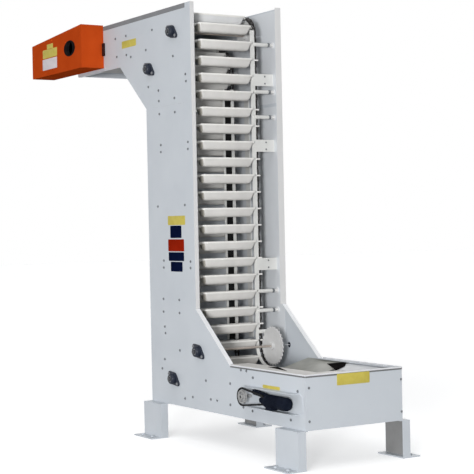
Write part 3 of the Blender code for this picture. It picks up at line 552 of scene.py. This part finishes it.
for side, word in ((-1, "left"), (1, "right")):
    chain = bmesh.new()
    centre_y = LOOP_Y + side * (STRAND_Y + CHAIN_SHIFT)
    marks = [on_loop(FIRST_BUCKET + LINK * step) for step in range(BUCKET_COUNT * LINKS_PER_PITCH)]
    for step, pin in enumerate(marks):
        after = marks[(step + 1) % len(marks)]
        offset = INNER_PLATE_Y if step % 2 else OUTER_PLATE_Y
        for face in (-1, 1):
            plate_y = centre_y + face * offset
            link_plate(chain, pin, after, plate_y)
        for half_y, radius, sides in LINK_BARS:
            rod(chain, at(pin.x, centre_y - half_y, pin.y), at(pin.x, centre_y + half_y, pin.y),
                radius, sides)
    piece(f"chain_{word}", chain, FINISH["chain_steel"],
          replaced=[f"bucket_run_{run}" for run in RUNS], smooth=30.0)


# Shafts with their sprockets

DISC_SHIFT = 0.019
DISC_THICK = 0.010
HUB_RADIUS = 0.032
IDLER_TEETH = 28
FEWEST_TEETH = 12
BAR_RADIUS = 0.020
BAR_EASE = 0.002
SLIM_RADIUS = 0.010
PLAIN_RADIUS = 0.0199
WALL_Y = HALF_WIDTH + 0.0005
DISC_Y = 0.310


def toothed_disc(shape, centre, radius, teeth, middle_y, thick):
    """Make a sprocket with rounded teeth, a recessed web and a hub."""
    tip = (radius - 0.015) * math.cos(math.radians(7.5))
    tip -= 0.0055 if teeth > 20 else 0.0006
    root = tip - 0.013
    outline = []
    for tooth in range(teeth):
        for share, reach in ((-0.50, root), (-0.34, root + 0.0005), (-0.20, root + 0.006),
                             (-0.08, tip), (0.08, tip), (0.20, root + 0.006),
                             (0.34, root + 0.0005)):
            angle = 2 * math.pi * (tooth + share) / teeth
            outline.append(Vector((centre[0] + reach * math.cos(angle),
                                   centre[1] + reach * math.sin(angle))))
    middle = Vector(centre)
    half = thick / 2
    web = root - 0.020
    circle = [(point - middle).normalized() for point in outline]

    def tooth_ring(factor, y):
        moved = [middle + (point - middle) * factor for point in outline]
        return [at(point.x, y, point.y) for point in moved]

    def round_ring(size, y):
        return [at(middle.x + size * item.x, y, middle.y + size * item.y) for item in circle]

    # From the middle of the disc outwards: hub, web, rim and teeth
    profile = [(round_ring, HUB_RADIUS - 0.004, half + 0.016),
               (round_ring, HUB_RADIUS, half + 0.012), (round_ring, HUB_RADIUS, half - 0.002),
               (round_ring, web, half - 0.002), (round_ring, web + 0.003, half),
               (tooth_ring, 0.985, half), (tooth_ring, 1.0, half - 0.002)]
    rings = [make(size, middle_y - depth) for make, size, depth in profile]
    rings += [make(size, middle_y + depth) for make, size, depth in reversed(profile)]
    loft(shape, rings)


# A shaft reaches through the flange and the barrel of its bearings and a little further, or else
# as far to the left and to the right as ENDS says
REACH = HALF_WIDTH + 0.016 + 0.036 + 0.012
ENDS = {"head_drive": (HALF_WIDTH + 0.150, REACH), "infeed": (HALF_WIDTH - 0.001,) * 2}
for name, (centre, radius) in SHAFTS.items():
    left, right = ENDS.get(name, (REACH, REACH))
    body = "boot_idler" if name == "boot_front" else "frame"
    wheels = bmesh.new()
    teeth = max(FEWEST_TEETH, round(math.tau * radius / LINK))
    if name == "boot_front":
        teeth = IDLER_TEETH
    for side in (-1, 1):
        toothed_disc(wheels, centre, radius, teeth, LOOP_Y + side * (STRAND_Y + DISC_SHIFT),
                     DISC_THICK)
    piece(f"{name}_sprockets", wheels, STEEL_PALE, body, [f"{name}_shaft"])
    bar = bmesh.new()
    thin = SLIM_RADIUS if name in ("boot_front", "top_front") else PLAIN_RADIUS
    lathe(bar, at(centre[0], 0.0, centre[1]), (0, 1, 0),
          [(-left, BAR_RADIUS - BAR_EASE), (-left + BAR_EASE, BAR_RADIUS), (-WALL_Y, BAR_RADIUS),
           (-WALL_Y, thin), (DISC_Y, thin), (DISC_Y, thin / 3), (WALL_Y, thin / 3),
           (WALL_Y, BAR_RADIUS), (right - BAR_EASE, BAR_RADIUS), (right, BAR_RADIUS - BAR_EASE)],
          24)
    for face in bar.faces:
        middle_y = face.calc_center_median().y - SHIFT.y
        if abs(middle_y) > WALL_Y + 0.0001:
            face.material_index = 1
        elif middle_y > DISC_Y:
            face.material_index = 2
    piece(f"{name}_bar", bar, SHAFT_DULL, body, [f"{name}_shaft"],
          more=(SHAFT_DARK, RIM_WHITE))


# Bearings

EAR = 0.083
EAR_RADIUS = 0.022
BODY_RADIUS = 0.057
TILT = math.radians(-30.0)


def diamond(centre, inset):
    """Return the outline of a two-bolt flange, tilted as on the casing."""
    outline = []
    for middle, radius, start, end in ((EAR, EAR_RADIUS, -60, 60), (0.0, BODY_RADIUS, 65, 115),
                                       (-EAR, EAR_RADIUS, 120, 240),
                                       (0.0, BODY_RADIUS, 245, 295)):
        for step in range(7):
            angle = math.radians(start + (end - start) * step / 6)
            x = middle + (radius - inset) * math.cos(angle)
            z = (radius - inset) * math.sin(angle)
            outline.append((centre[0] + x * math.cos(TILT) - z * math.sin(TILT),
                            centre[1] + x * math.sin(TILT) + z * math.cos(TILT)))
    return outline


for name in ("top_front", "top_inner", "boot_front", "boot_rear"):
    centre = SHAFTS[name][0]
    for side, word in ((-1, "left"), (1, "right")):
        cast = bmesh.new()
        base = side * (HALF_WIDTH + LIFT)
        rings = []
        for depth, inset in ((0.0, 0.001), (0.002, 0.0), (0.011, 0.0), (0.014, 0.002),
                             (0.016, 0.006)):
            rings.append([at(x, base + side * depth, z) for x, z in diamond(centre, inset)])
        loft(cast, rings)
        lathe(cast, at(centre[0], base + side * 0.010, centre[1]), (0, side, 0),
              [(0.0, 0.052), (0.012, 0.051), (0.028, 0.048), (0.036, 0.044), (0.041, 0.038),
               (0.041, 0.028), (0.036, 0.026)], 32)
        nipple = at(centre[0] + 0.028, base + side * 0.030, centre[1] + 0.034)
        rod(cast, nipple, nipple + Vector((0.010, 0.0, 0.014)), 0.004, 8, 0.001)
        piece(f"{name}_{word}_housing", cast, FINISH["dark_iron"], "frame",
              [f"{name}_{word}_bearing"])
        small = bmesh.new()
        lathe(small, at(centre[0], base + side * 0.034, centre[1]), (0, side, 0),
              [(0.0, 0.030), (0.012, 0.030), (0.015, 0.028), (0.015, 0.0212)], 24)
        for end in (-1, 1):
            ear_x = centre[0] + end * EAR * math.cos(TILT)
            ear_z = centre[1] + end * EAR * math.sin(TILT)
            bolt(small, at(ear_x, base + side * 0.016, ear_z), (0, side, 0), 0.010)
        piece(f"{name}_{word}_insert", small, BAND_GREY, "frame")


# Bolts and plates on the casing

BOLT_FACE_Y = HALF_WIDTH + 0.0002
HOPPER_FACE_X = 1.6655

# X and Z of the bolts that the photo shows on the left panel
LEFT_BOLTS = [
    (-0.698, 3.724), (-1.439, 3.734), (-1.218, 3.735), (-1.216, 3.554), (-1.125, 3.525),
    (-1.415, 3.558), (-0.823, 3.555), (-0.315, 3.442), (-0.789, 3.210), (-0.598, 3.160),
    (-0.593, 3.064), (-0.303, 3.066), (-0.097, 3.258), (-0.090, 3.196), (-0.589, 2.945),
    (-0.300, 2.940), (-0.573, 2.662), (-0.575, 2.599), (-0.077, 2.659), (-0.080, 2.598),
    (-0.654, 2.105), (-0.154, 2.107), (-0.562, 1.611), (-0.565, 1.548), (-0.074, 1.608),
    (-0.076, 1.551), (-0.583, 1.263), (-0.291, 1.263), (-0.586, 1.146), (-0.291, 1.146),
    (-0.569, 1.011), (-0.558, 0.952), (-0.299, 0.811), (-0.582, 0.714), (-0.632, 0.625),
    (0.150, 0.579), (0.552, 0.587), (-0.223, 0.389), (-0.083, 0.414), (0.228, 0.424),
    (0.334, 0.425), (0.550, 0.409), (0.729, 0.716), (0.815, 0.714), (0.913, 0.667),
    (0.758, 0.409), (0.898, 0.392), (1.564, 0.614), (1.460, 0.379),
]
heads = bmesh.new()
for side in (-1, 1):
    for x, z in LEFT_BOLTS:
        bolt(heads, at(x, side * BOLT_FACE_Y, z), (0, side, 0), 0.009)
piece("side_bolts", heads, ZINC, "frame")

HOPPER_BOLTS = [(-0.440, 0.646), (-0.440, 0.385), (0.466, 0.646), (0.466, 0.385)]
heads = bmesh.new()
for y, z in HOPPER_BOLTS:
    bolt(heads, at(HOPPER_FACE_X, y, z), (1, 0, 0), 0.008)
piece("hopper_bolts", heads, ZINC, "frame")

# Steps of a plate's edge: height above the sheet, inset
PLATE_STEPS = ((LIFT, 0.0), (0.0015, 0.0), (0.0019, 0.0012))
GUARD_FACE = -HALF_WIDTH - LIFT - 0.240


def plate_on_left(name, x0, x1, z0, z1, look, y=-HALF_WIDTH):
    """Make a blank plate with rounded corners on a face that looks to the left."""
    shape = bmesh.new()
    middle_x = (x0 + x1) / 2
    middle_z = (z0 + z1) / 2
    rings = []
    for depth, inset in PLATE_STEPS:
        ring = rounded_ring(abs(x1 - x0) / 2 - inset, abs(z1 - z0) / 2 - inset, 0.008, 0.0)
        rings.append([at(middle_x + point.x, y - depth, middle_z + point.y) for point in ring])
    loft(shape, rings)
    piece(name, shape, look, "frame")


plate_on_left("plate_head", -1.307, -1.017, 3.622, 3.690, YELLOW)
plate_on_left("plate_column_a", -0.472, -0.158, 1.932, 2.014, YELLOW)
plate_on_left("plate_column_b", -0.430, -0.228, 1.816, 1.926, NAVY)
plate_on_left("plate_column_c", -0.474, -0.185, 1.696, 1.804, RED)
plate_on_left("plate_column_d", -0.468, -0.190, 1.610, 1.688, NAVY)
plate_on_left("plate_column_e", -0.432, -0.221, 1.515, 1.602, NAVY)
plate_on_left("plate_tray", 1.060, 1.310, 0.598, 0.624, YELLOW)
plate_on_left("plate_guard_a", -2.506, -2.357, 3.748, 3.795, YELLOW, GUARD_FACE)
plate_on_left("plate_guard_b", -2.611, -2.263, 3.658, 3.745, YELLOW, GUARD_FACE)
plate_on_left("plate_guard_c", -2.618, -2.268, 3.540, 3.650, PALE, GUARD_FACE)

shape = bmesh.new()
rings = []
for depth, inset in PLATE_STEPS:
    ring = rounded_ring(0.160 - inset, 0.045 - inset, 0.006, 0.0)
    rings.append([at(HOPPER_FACE_X - 0.0002 + depth, -0.012 + point.x, 0.690 + point.y)
                  for point in ring])
loft(shape, rings)
piece("plate_hopper", shape, YELLOW, "frame")


# Small belt drive

WHEEL = (0.880, 0.515)
SMALL_WHEEL = (1.170, 0.515)
WHEEL_BELT_RADIUS = 0.0625
SMALL_BELT_RADIUS = 0.0283
BELT_PLANE = -HALF_WIDTH - LIFT - 0.085
BELT_SECTION = [
    # height above the belt's inner side, place across the belt
    (0.0, -0.0045), (0.0140, -0.0070), (0.0152, 0.0), (0.0140, 0.0070), (0.0, 0.0045),
]
OUTWARD = (0, -1, 0)


def belt_outline(height):
    """Return a line round both pulleys at a height above the belt's inner side."""
    points = []
    for centre, radius, start, end, steps in ((WHEEL, WHEEL_BELT_RADIUS, 82, 278, 28),
                                              (SMALL_WHEEL, SMALL_BELT_RADIUS, -82, 82, 16)):
        for step in range(steps + 1):
            angle = math.radians(start + (end - start) * step / steps)
            points.append(Vector((centre[0] + (radius + height) * math.cos(angle),
                                  centre[1] + (radius + height) * math.sin(angle))))
    return points


belt = bmesh.new()
tracks = [[at(point.x, BELT_PLANE + offset, point.y) for point in belt_outline(height)]
          for height, offset in BELT_SECTION]
wrap(belt, list(zip(*tracks)))
piece("belt_loop", belt, FINISH["rubber"], "frame", ["drive_belt"], 40.0)

SPOKES = 5
SPOKE_TURN = 0.3
SPOKE_SECTION = ((1, 0.6), (0.6, 1), (-0.6, 1), (-1, 0.6), (-1, -0.6), (-0.6, -1), (0.6, -1),
                 (1, -0.6))

wheel = bmesh.new()
origin = at(WHEEL[0], BELT_PLANE, WHEEL[1])
lathe(wheel, origin, OUTWARD,
      [(-0.012, 0.044), (-0.012, 0.0545), (-0.010, 0.0558), (-0.0075, 0.0558), (-0.004, 0.049),
       (0.004, 0.049), (0.0075, 0.0558), (0.010, 0.0558), (0.012, 0.0545), (0.012, 0.044)], 48,
      caps=(False, False))
lathe(wheel, origin, OUTWARD, [(-0.012, 0.044), (0.012, 0.044)], 48, caps=(False, False))
lathe(wheel, origin, OUTWARD, [(-0.020, 0.022), (0.018, 0.022), (0.020, 0.020)], 32)
for spoke in range(SPOKES):
    angle = math.tau * spoke / SPOKES + SPOKE_TURN
    along = Vector((math.cos(angle), 0.0, math.sin(angle)))
    wide = Vector((-math.sin(angle), 0.0, math.cos(angle)))
    rings = []
    for reach, half in ((0.018, 0.010), (0.032, 0.007), (0.045, 0.009)):
        middle = origin + along * reach
        rings.append([middle + wide * half * a + Vector((0, b * 0.005, 0))
                      for a, b in SPOKE_SECTION])
    loft(wheel, rings)
rod(wheel, at(WHEEL[0], -HALF_WIDTH - 0.001, WHEEL[1]),
    at(WHEEL[0], BELT_PLANE - 0.020, WHEEL[1]), 0.013, 20, 0.002)
piece("belt_wheel_detail", wheel, WHEEL_GREY, "belt_wheel", ["belt_pulley"])

wheel = bmesh.new()
lathe(wheel, at(SMALL_WHEEL[0], BELT_PLANE, SMALL_WHEEL[1]), OUTWARD,
      [(-0.012, 0.017), (-0.012, 0.0205), (-0.0075, 0.0218), (-0.004, 0.016), (0.004, 0.016),
       (0.0075, 0.0218), (0.012, 0.0205), (0.013, 0.011), (0.016, 0.010)], 32)
rod(wheel, at(SMALL_WHEEL[0], BELT_PLANE + 0.038, SMALL_WHEEL[1]),
    at(SMALL_WHEEL[0], BELT_PLANE - 0.016, SMALL_WHEEL[1]), 0.008, 16, 0.001)
piece("motor_wheel_detail", wheel, MOTOR_BLACK, "motor_wheel", ["motor_pulley"])

# The motor's barrel with its fins, its foot and the gear case behind the small pulley
TRAY_SHEET = 0.0043
BARREL = Vector((1.221, -HALF_WIDTH - LIFT - TRAY_SHEET - 0.059, 0.509))
FINS = 28
FIN_SECTION = ((0.049, 0.0015), (0.0548, 0.0009), (0.0548, -0.0009), (0.049, -0.0015))
CASE_FACE = BELT_PLANE + 0.012 + 0.006

motor = bmesh.new()
lathe(motor, at(*BARREL), (1, 0, 0),
      [(0.0, 0.048), (0.004, 0.052), (0.030, 0.053), (0.032, 0.050), (0.205, 0.050),
       (0.207, 0.054), (0.270, 0.054), (0.286, 0.050), (0.296, 0.038), (0.299, 0.020)], 40)
for fin in range(FINS):
    angle = math.tau * fin / FINS
    over_foot = math.sin(angle) < -0.80
    if over_foot:
        continue
    out = Vector((0.0, math.cos(angle), math.sin(angle)))
    wide = Vector((0.0, -math.sin(angle), math.cos(angle)))
    loft(motor, [[at(*BARREL) + Vector((along, 0, 0)) + out * reach + wide * half
                  for reach, half in FIN_SECTION] for along in (0.034, 0.203)])
low = at(*BARREL) + Vector((0.020, -0.035, -0.066))
block(motor, low, low + Vector((0.080, 0.070, 0.030)), 0.004)
low = at(*BARREL) + Vector((0.016, -0.038, -0.040))
block(motor, low, low + Vector((0.088, 0.076, 0.010)), 0.003)
block(motor, at(1.125, CASE_FACE, 0.465), at(1.225, -HALF_WIDTH - 0.0047, 0.555), 0.008)
piece("small_motor_detail", motor, MOTOR_BLACK, "frame", ["small_motor"])

shape = bmesh.new()
extrude_y(shape, [(1.020, 0.548), (1.200, 0.530), (1.200, 0.566), (1.020, 0.587)],
          BELT_PLANE + 0.0095, BELT_PLANE + 0.040)
piece("belt_hood", shape, MOTOR_BLACK, "frame")

shape = bmesh.new()
for x in (1.135, 1.215):
    for z in (0.475, 0.545):
        bolt(shape, at(x, CASE_FACE - 0.0002, z), OUTWARD, 0.005, False)
piece("small_motor_trim", shape, ZINC, "frame")


# Drive guard and head

HOLE_RADIUS = 0.070
HOLE_COLLAR = 0.074
HOLE_SHADE = (0.128, 0.078)
HEAD_TOP_Z = 3.8848


def oval(half_x, half_z, y, steps=48):
    """Return the points of an upright oval about the guard's hole."""
    middle_x, middle_z = SHAFTS["head_drive"][0]
    return [at(middle_x + half_x * math.cos(math.tau * step / steps), y,
               middle_z + half_z * math.sin(math.tau * step / steps)) for step in range(steps)]


def side_sheet(shape, side, reach, x_range, z_range, edge=0.0, middle=0.0):
    """Make a sheet on one side, between two distances from a middle plane."""
    low_y, high_y = sorted(middle + side * distance for distance in reach)
    block(shape, at(x_range[0], low_y, z_range[0]), at(x_range[1], high_y, z_range[1]), edge)


# A black oval round the guard's hole and a black collar inside it: painted shade of the hole's
# dark inside
shape = bmesh.new()
wrap(shape, [oval(*HOLE_SHADE, GUARD_FACE - LIFT), oval(*HOLE_SHADE, GUARD_FACE - 0.0015),
             oval(HOLE_RADIUS, HOLE_RADIUS, GUARD_FACE - 0.0015),
             oval(HOLE_RADIUS, HOLE_RADIUS, GUARD_FACE + 0.030),
             oval(HOLE_COLLAR, HOLE_COLLAR, GUARD_FACE + 0.030),
             oval(HOLE_COLLAR, HOLE_COLLAR, GUARD_FACE - LIFT)])
piece("guard_hole_painted_shade", shape, PAINTED_SHADE_BLACK, "frame")

# A black sheet inside the guard, behind its hole: painted shade of the guard's inside
shape = bmesh.new()
extrude_y(shape, [(-2.872, 3.488), (-1.708, 3.488), (-1.708, 3.890), (-2.872, 3.811)],
          -HALF_WIDTH - 0.0045, -HALF_WIDTH - 0.0025, 0.0)
piece("guard_inside_painted_shade", shape, MOTOR_BLACK, "frame")

shape = bmesh.new()
for side in (-1, 1):
    side_sheet(shape, side, (HALF_WIDTH + 0.0002, HALF_WIDTH + 0.0014), (-2.285, -0.090),
               (3.843, HEAD_TOP_Z))
piece("head_top_bands", shape, BAND_GREY, "frame")

# A thin grey sheet under the head: painted shade of the underside
shape = bmesh.new()
block(shape, at(-1.774, -0.4742, 3.4476), at(-1.357, 0.4742, 3.4490), 0.0)
piece("head_under_painted_shade", shape, UNDERSIDE_PAINTED_SHADE, "frame")


# Brackets and stays of the front guides

BRACKET_LEVELS = (1.560, 2.640, 3.240)
BRACKET_FACE_X = -0.1347
STAY_X = -0.1287
STAY_LEVELS = (0.947, 1.137, 1.314, 2.900, 3.130, 3.560)
STAY_SLEEVES = ((-1, -0.380, -0.440), (1, 0.260, 0.407))

shape = bmesh.new()
for y in (-0.450, 0.380):
    for level in BRACKET_LEVELS:
        for rise in (-0.032, 0.032):
            bolt(shape, at(BRACKET_FACE_X, y, level + rise), (1, 0, 0), 0.006)
piece("bracket_bolts", shape, ZINC, "frame")

sleeves = bmesh.new()
nuts = bmesh.new()
washers = bmesh.new()
for level in STAY_LEVELS:
    for side, start, end in STAY_SLEEVES:
        rod(sleeves, at(STAY_X, start, level), at(STAY_X, end, level), 0.0175, 16, 0.002)
        rod(nuts, at(STAY_X, end + side * 0.002, level), at(STAY_X, end + side * 0.020, level),
            0.0215, 6, 0.002)
        wall = side * (HALF_WIDTH - 0.0055)
        rod(washers, at(STAY_X, wall - side * 0.006, level), at(STAY_X, wall, level), 0.028, 20,
            0.001)
piece("stay_sleeves", sleeves, FINISH["cream_paint"], "frame")
piece("stay_nuts", nuts, ZINC, "frame")
piece("stay_washers", washers, RIM_WHITE, "frame")


# Painted highlights on the front lips, paler painted light on the shaft's inner walls, and guides
# of the rear run

PAINTED_LIGHT_Y = 0.4684
PAINTED_LIGHT_LOW_Z = 0.870
GUIDE_Z = (0.860, 3.180)
GUIDE_BACK_X = -0.484

# Thin sheets on the front faces of the column's lips: painted highlight
shape = bmesh.new()
for low_y, high_y in ((-0.4745, -0.437), (0.413, 0.4745)):
    block(shape, at(LIFT, low_y, 1.195), at(0.0018, high_y, HEAD_TOP_Z), 0.0)
piece("column_front_painted_highlights", shape, LIP_PAINTED_HIGHLIGHT, "frame")

# Thin sheets on the slanted lips: painted highlight
shape = bmesh.new()
for low_y, high_y in ((-0.4765, -0.434), (0.434, 0.4765)):
    extrude_y(shape, [(0.0009, 1.1900), (0.5495, 0.7405), (0.5510, 0.7424), (0.0020, 1.1924)],
              low_y, high_y, 0.0)
piece("slanted_front_painted_highlights", shape, SLANT_PAINTED_HIGHLIGHT, "frame")

# A pale sheet on the inside of the rear cover: painted light
shape = bmesh.new()
block(shape, at(-0.8290, -PAINTED_LIGHT_Y, PAINTED_LIGHT_LOW_Z), at(-0.8276, PAINTED_LIGHT_Y, 2.980), 0.0)
piece("rear_painted_light_sheet", shape, REAR_PAINTED_LIGHT, "frame")

# Pale sheets on the inner faces of the side walls: painted light
shape = bmesh.new()
for side in (-1, 1):
    for z_range in ((PAINTED_LIGHT_LOW_Z, 3.000), (3.030, 3.870)):
        side_sheet(shape, side, (PAINTED_LIGHT_Y, PAINTED_LIGHT_Y + 0.0012), (-0.826, -0.012), z_range)
piece("side_painted_light_sheets", shape, WALL_PAINTED_LIGHT, "frame")

strips = bmesh.new()
wear = bmesh.new()
for side in (-1, 1):
    for reach in ((0.193, 0.214), (0.281, 0.313)):
        side_sheet(strips, side, reach, (GUIDE_BACK_X, -0.476), GUIDE_Z, 0.001, LOOP_Y)
    side_sheet(wear, side, (0.214, 0.281), (GUIDE_BACK_X, -0.480), GUIDE_Z, 0.0, LOOP_Y)
    side_sheet(strips, side, (0.460, 0.4695), (-0.628, -0.552), GUIDE_Z, 0.001)
piece("return_guides", strips, FINISH["cream_paint"], "frame")
piece("return_guide_wear", wear, FINISH["rubber"], "frame")


# Rim of the infeed and hopper

RIM_BACK_X = 0.556
FRONT_RIM_X = 1.6698
SIDE_FACE_Y = 0.4752
SIDE_RIM_Y = 0.4795
FLANGE_Z = (0.7455, 0.7495)
FLANGE_FRONT_X = 1.655


def infeed_band(name, back, z_range, edge, look):
    """Make a band round the infeed, set back from the rim's outermost faces."""
    shape = bmesh.new()
    front_x = FRONT_RIM_X - back
    side_y = SIDE_RIM_Y - back
    for side in (-1, 1):
        side_sheet(shape, side, (SIDE_FACE_Y, side_y), (RIM_BACK_X + back, front_x), z_range, edge)
    block(shape, at(HOPPER_FACE_X, back - SIDE_FACE_Y, z_range[0]),
          at(front_x, SIDE_FACE_Y - back, z_range[1]), edge)
    piece(name, shape, look, "frame")


infeed_band("infeed_rim_strips", 0.0, (0.738, 0.750), 0.001, RIM_WHITE)
# A dark band just under the rim strips: painted shadow of their overhang
infeed_band("infeed_rim_painted_shadows", 0.003, (0.7255, 0.7382), 0.0, RIM_PAINTED_SHADOW)

shape = bmesh.new()
for low_x, low_y, high_y in ((0.560, -0.4690, -0.2900), (1.560, -0.2890, -0.0800)):
    block(shape, at(low_x, low_y, FLANGE_Z[0]), at(FLANGE_FRONT_X, high_y, FLANGE_Z[1]), 0.001)
piece("hopper_flanges", shape, FLANGE_CREAM, "frame")

# The hopper's sloping apron, in the near-white paint of the painted highlight
shape = bmesh.new()
loft(shape, [[at(x, 0.4690, z), at(x, 0.4690, z + 0.002), at(x, 0.3000, z - 0.043),
              at(x, 0.3000, z - 0.045)] for x, z in ((0.965, 0.7265), (1.660, 0.7265))])
piece("hopper_apron", shape, SLANT_PAINTED_HIGHLIGHT, "frame")

# Black patches lying on the hopper: a shaded hollow by the right chute and a shaded wedge at the
# left, both painted shade
HOLLOW_PAINTED_SHADE = [(0.749, 0.386, 0.710), (0.925, 0.465, 0.731), (1.016, 0.382, 0.709),
        (1.039, 0.272, 0.682)]
WEDGE_PAINTED_SHADE = [(0.964, -0.361, 0.7497), (1.014, -0.2945, 0.7497), (1.330, -0.416, 0.7497)]
shape = bmesh.new()
for outline in (HOLLOW_PAINTED_SHADE, WEDGE_PAINTED_SHADE):
    loft(shape, [[at(x, y, z + lift) for x, y, z in outline] for lift in (0.0, 0.0015)])
piece("hopper_painted_shades", shape, PAINTED_SHADE_BLACK, "frame")


# Legs, foot bolts, latch and gear motor

LEG_STARTS = (-0.866, 1.345)
FOOT_BOLT_Y = HALF_WIDTH + 0.075 + 0.055

# Dark grey sheets on the inner faces of the legs: painted shade
shape = bmesh.new()
for start in LEG_STARTS:
    for side in (-1, 1):
        side_sheet(shape, side, (0.5432, 0.5438), (start + 0.004, start + 0.313), (0.0125, 0.300))
piece("leg_inner_painted_shade", shape, LEG_SHADE, "frame")

shape = bmesh.new()
for start in LEG_STARTS:
    for side in (-1, 1):
        for x in (start + 0.070, start + 0.250):
            bolt(shape, at(x, side * FOOT_BOLT_Y, 0.0121), (0, 0, 1), 0.012)
piece("foot_bolts", shape, FINISH["white_paint"], "frame")

shape = bmesh.new()
block(shape, at(-1.6995, -HALF_WIDTH - 0.020, 3.597), at(-1.664, -HALF_WIDTH - LIFT, 3.722),
      0.003)
piece("guard_latch", shape, LATCH, "frame")

NODES["gear_motor"].modifiers.new("ease", "BEVEL").width = 0.006


# Floor, light and camera

FLOOR_COLOUR = 0.94
FLOOR_GLOW = 0.53
FLOOR_BOUNCE = 0.50
SKY_COLOUR = (0.96, 0.98, 1.0)
SKY_STRENGTH = 0.26
SEEN_RAYS = ("Is Camera Ray", "Is Glossy Ray", "Is Transmission Ray")


def seen_or_lit(tree, lit, seen, output):
    """Show one shader to the camera, mirrors and glass, and light the rest with another."""
    path = tree.nodes.new("ShaderNodeLightPath")
    share = path.outputs[SEEN_RAYS[0]]
    for kind in SEEN_RAYS[1:]:
        either = tree.nodes.new("ShaderNodeMath")
        either.operation = "MAXIMUM"
        tree.links.new(share, either.inputs[0])
        tree.links.new(path.outputs[kind], either.inputs[1])
        share = either.outputs[0]
    pick = tree.nodes.new("ShaderNodeMixShader")
    for socket, source in enumerate((share, lit.outputs[0], seen.outputs[0])):
        tree.links.new(source, pick.inputs[socket])
    tree.links.new(pick.outputs[0], tree.nodes[output].inputs["Surface"])


floor_mesh = bpy.data.meshes.new("floor")
shape = bmesh.new()
bmesh.ops.create_grid(shape, x_segments=1, y_segments=1, size=60.0)
shape.to_mesh(floor_mesh)
shape.free()
floor = bpy.data.objects.new("floor", floor_mesh)
bpy.context.scene.collection.objects.link(floor)
floor.location.z = -0.0005
floor_look, tree, shader = principled("floor_look", (FLOOR_COLOUR,) * 3, 0.9)
shader.inputs["Specular IOR Level"].default_value = 0.0
glow = tree.nodes.new("ShaderNodeEmission")
glow.inputs["Strength"].default_value = FLOOR_GLOW
add = tree.nodes.new("ShaderNodeAddShader")
tree.links.new(shader.outputs[0], add.inputs[0])
tree.links.new(glow.outputs[0], add.inputs[1])
bounce = tree.nodes.new("ShaderNodeBsdfDiffuse")
bounce.inputs["Color"].default_value = (*(FLOOR_BOUNCE,) * 3, 1.0)
seen_or_lit(tree, bounce, add, "Material Output")
floor_mesh.materials.append(floor_look)

world = bpy.data.worlds.new("studio")
bpy.context.scene.world = world
world.use_nodes = True
tree = world.node_tree
sky = tree.nodes["Background"]
sky.inputs["Color"].default_value = (*SKY_COLOUR, 1.0)
sky.inputs["Strength"].default_value = SKY_STRENGTH
white = tree.nodes.new("ShaderNodeBackground")
white.inputs["Color"].default_value = (1.0, 1.0, 1.0, 1.0)
white.inputs["Strength"].default_value = 1.0
seen_or_lit(tree, sky, white, "World Output")


def sun(name, towards, strength, spread_angle):
    """Make a wide soft lamp that shines from a direction."""
    lamp = bpy.data.lights.new(name, "SUN")
    lamp.energy = strength
    lamp.angle = math.radians(spread_angle)
    made = bpy.data.objects.new(name, lamp)
    bpy.context.scene.collection.objects.link(made)
    made.rotation_euler = Vector(towards).to_track_quat("Z", "Y").to_euler()


sun("key", (0.35, -0.50, 0.80), 0.72, 40.0)
sun("back", (-0.50, 0.80, 0.45), 0.50, 50.0)

# A wide panel lamp at mid height, far enough to light the shaft of the elevator evenly
FRONT_WAY = Vector((0.74, -0.67, 0.0)).normalized()
FRONT_DISTANCE = 20.0
FRONT_STRENGTH = 2.30
FRONT_AIM = (-0.3, 0.0, 1.95)
panel_lamp = bpy.data.lights.new("front", "AREA")
panel_lamp.shape = "DISK"
panel_lamp.size = 3.6
panel_lamp.energy = FRONT_STRENGTH * math.pi * FRONT_DISTANCE ** 2
made = bpy.data.objects.new("front", panel_lamp)
bpy.context.scene.collection.objects.link(made)
made.location = at(*FRONT_AIM) + FRONT_WAY * FRONT_DISTANCE
made.rotation_euler = FRONT_WAY.to_track_quat("Z", "Y").to_euler()

# The camera was fitted to the photo: its place in casing coordinates, its lens and its turns
VIEW_PLACE = (10.5237, -6.5399, 1.9184)
VIEW_LENS = 105.41
VIEW_TURN = math.radians(31.7137)
VIEW_PITCH = math.radians(0.4839)
VIEW_ROLL = math.radians(-1.1787)
ahead = Vector((-math.cos(VIEW_TURN) * math.cos(VIEW_PITCH),
                math.sin(VIEW_TURN) * math.cos(VIEW_PITCH), -math.sin(VIEW_PITCH)))
level = ahead.cross(Vector((0.0, 0.0, 1.0))).normalized()
up = level.cross(ahead)
right_way = level * math.cos(VIEW_ROLL) + up * math.sin(VIEW_ROLL)
up_way = up * math.cos(VIEW_ROLL) - level * math.sin(VIEW_ROLL)
lens = bpy.data.cameras.new("camera")
lens.sensor_width = 36.0
lens.lens = VIEW_LENS
lens.clip_end = 200.0
camera = bpy.data.objects.new("camera", lens)
bpy.context.scene.collection.objects.link(camera)
turned = Matrix((right_way, up_way, -ahead)).transposed().to_4x4()
camera.matrix_world = Matrix.Translation(at(*VIEW_PLACE)) @ turned
bpy.context.scene.camera = camera

bpy.context.scene.view_settings.view_transform = "Standard"
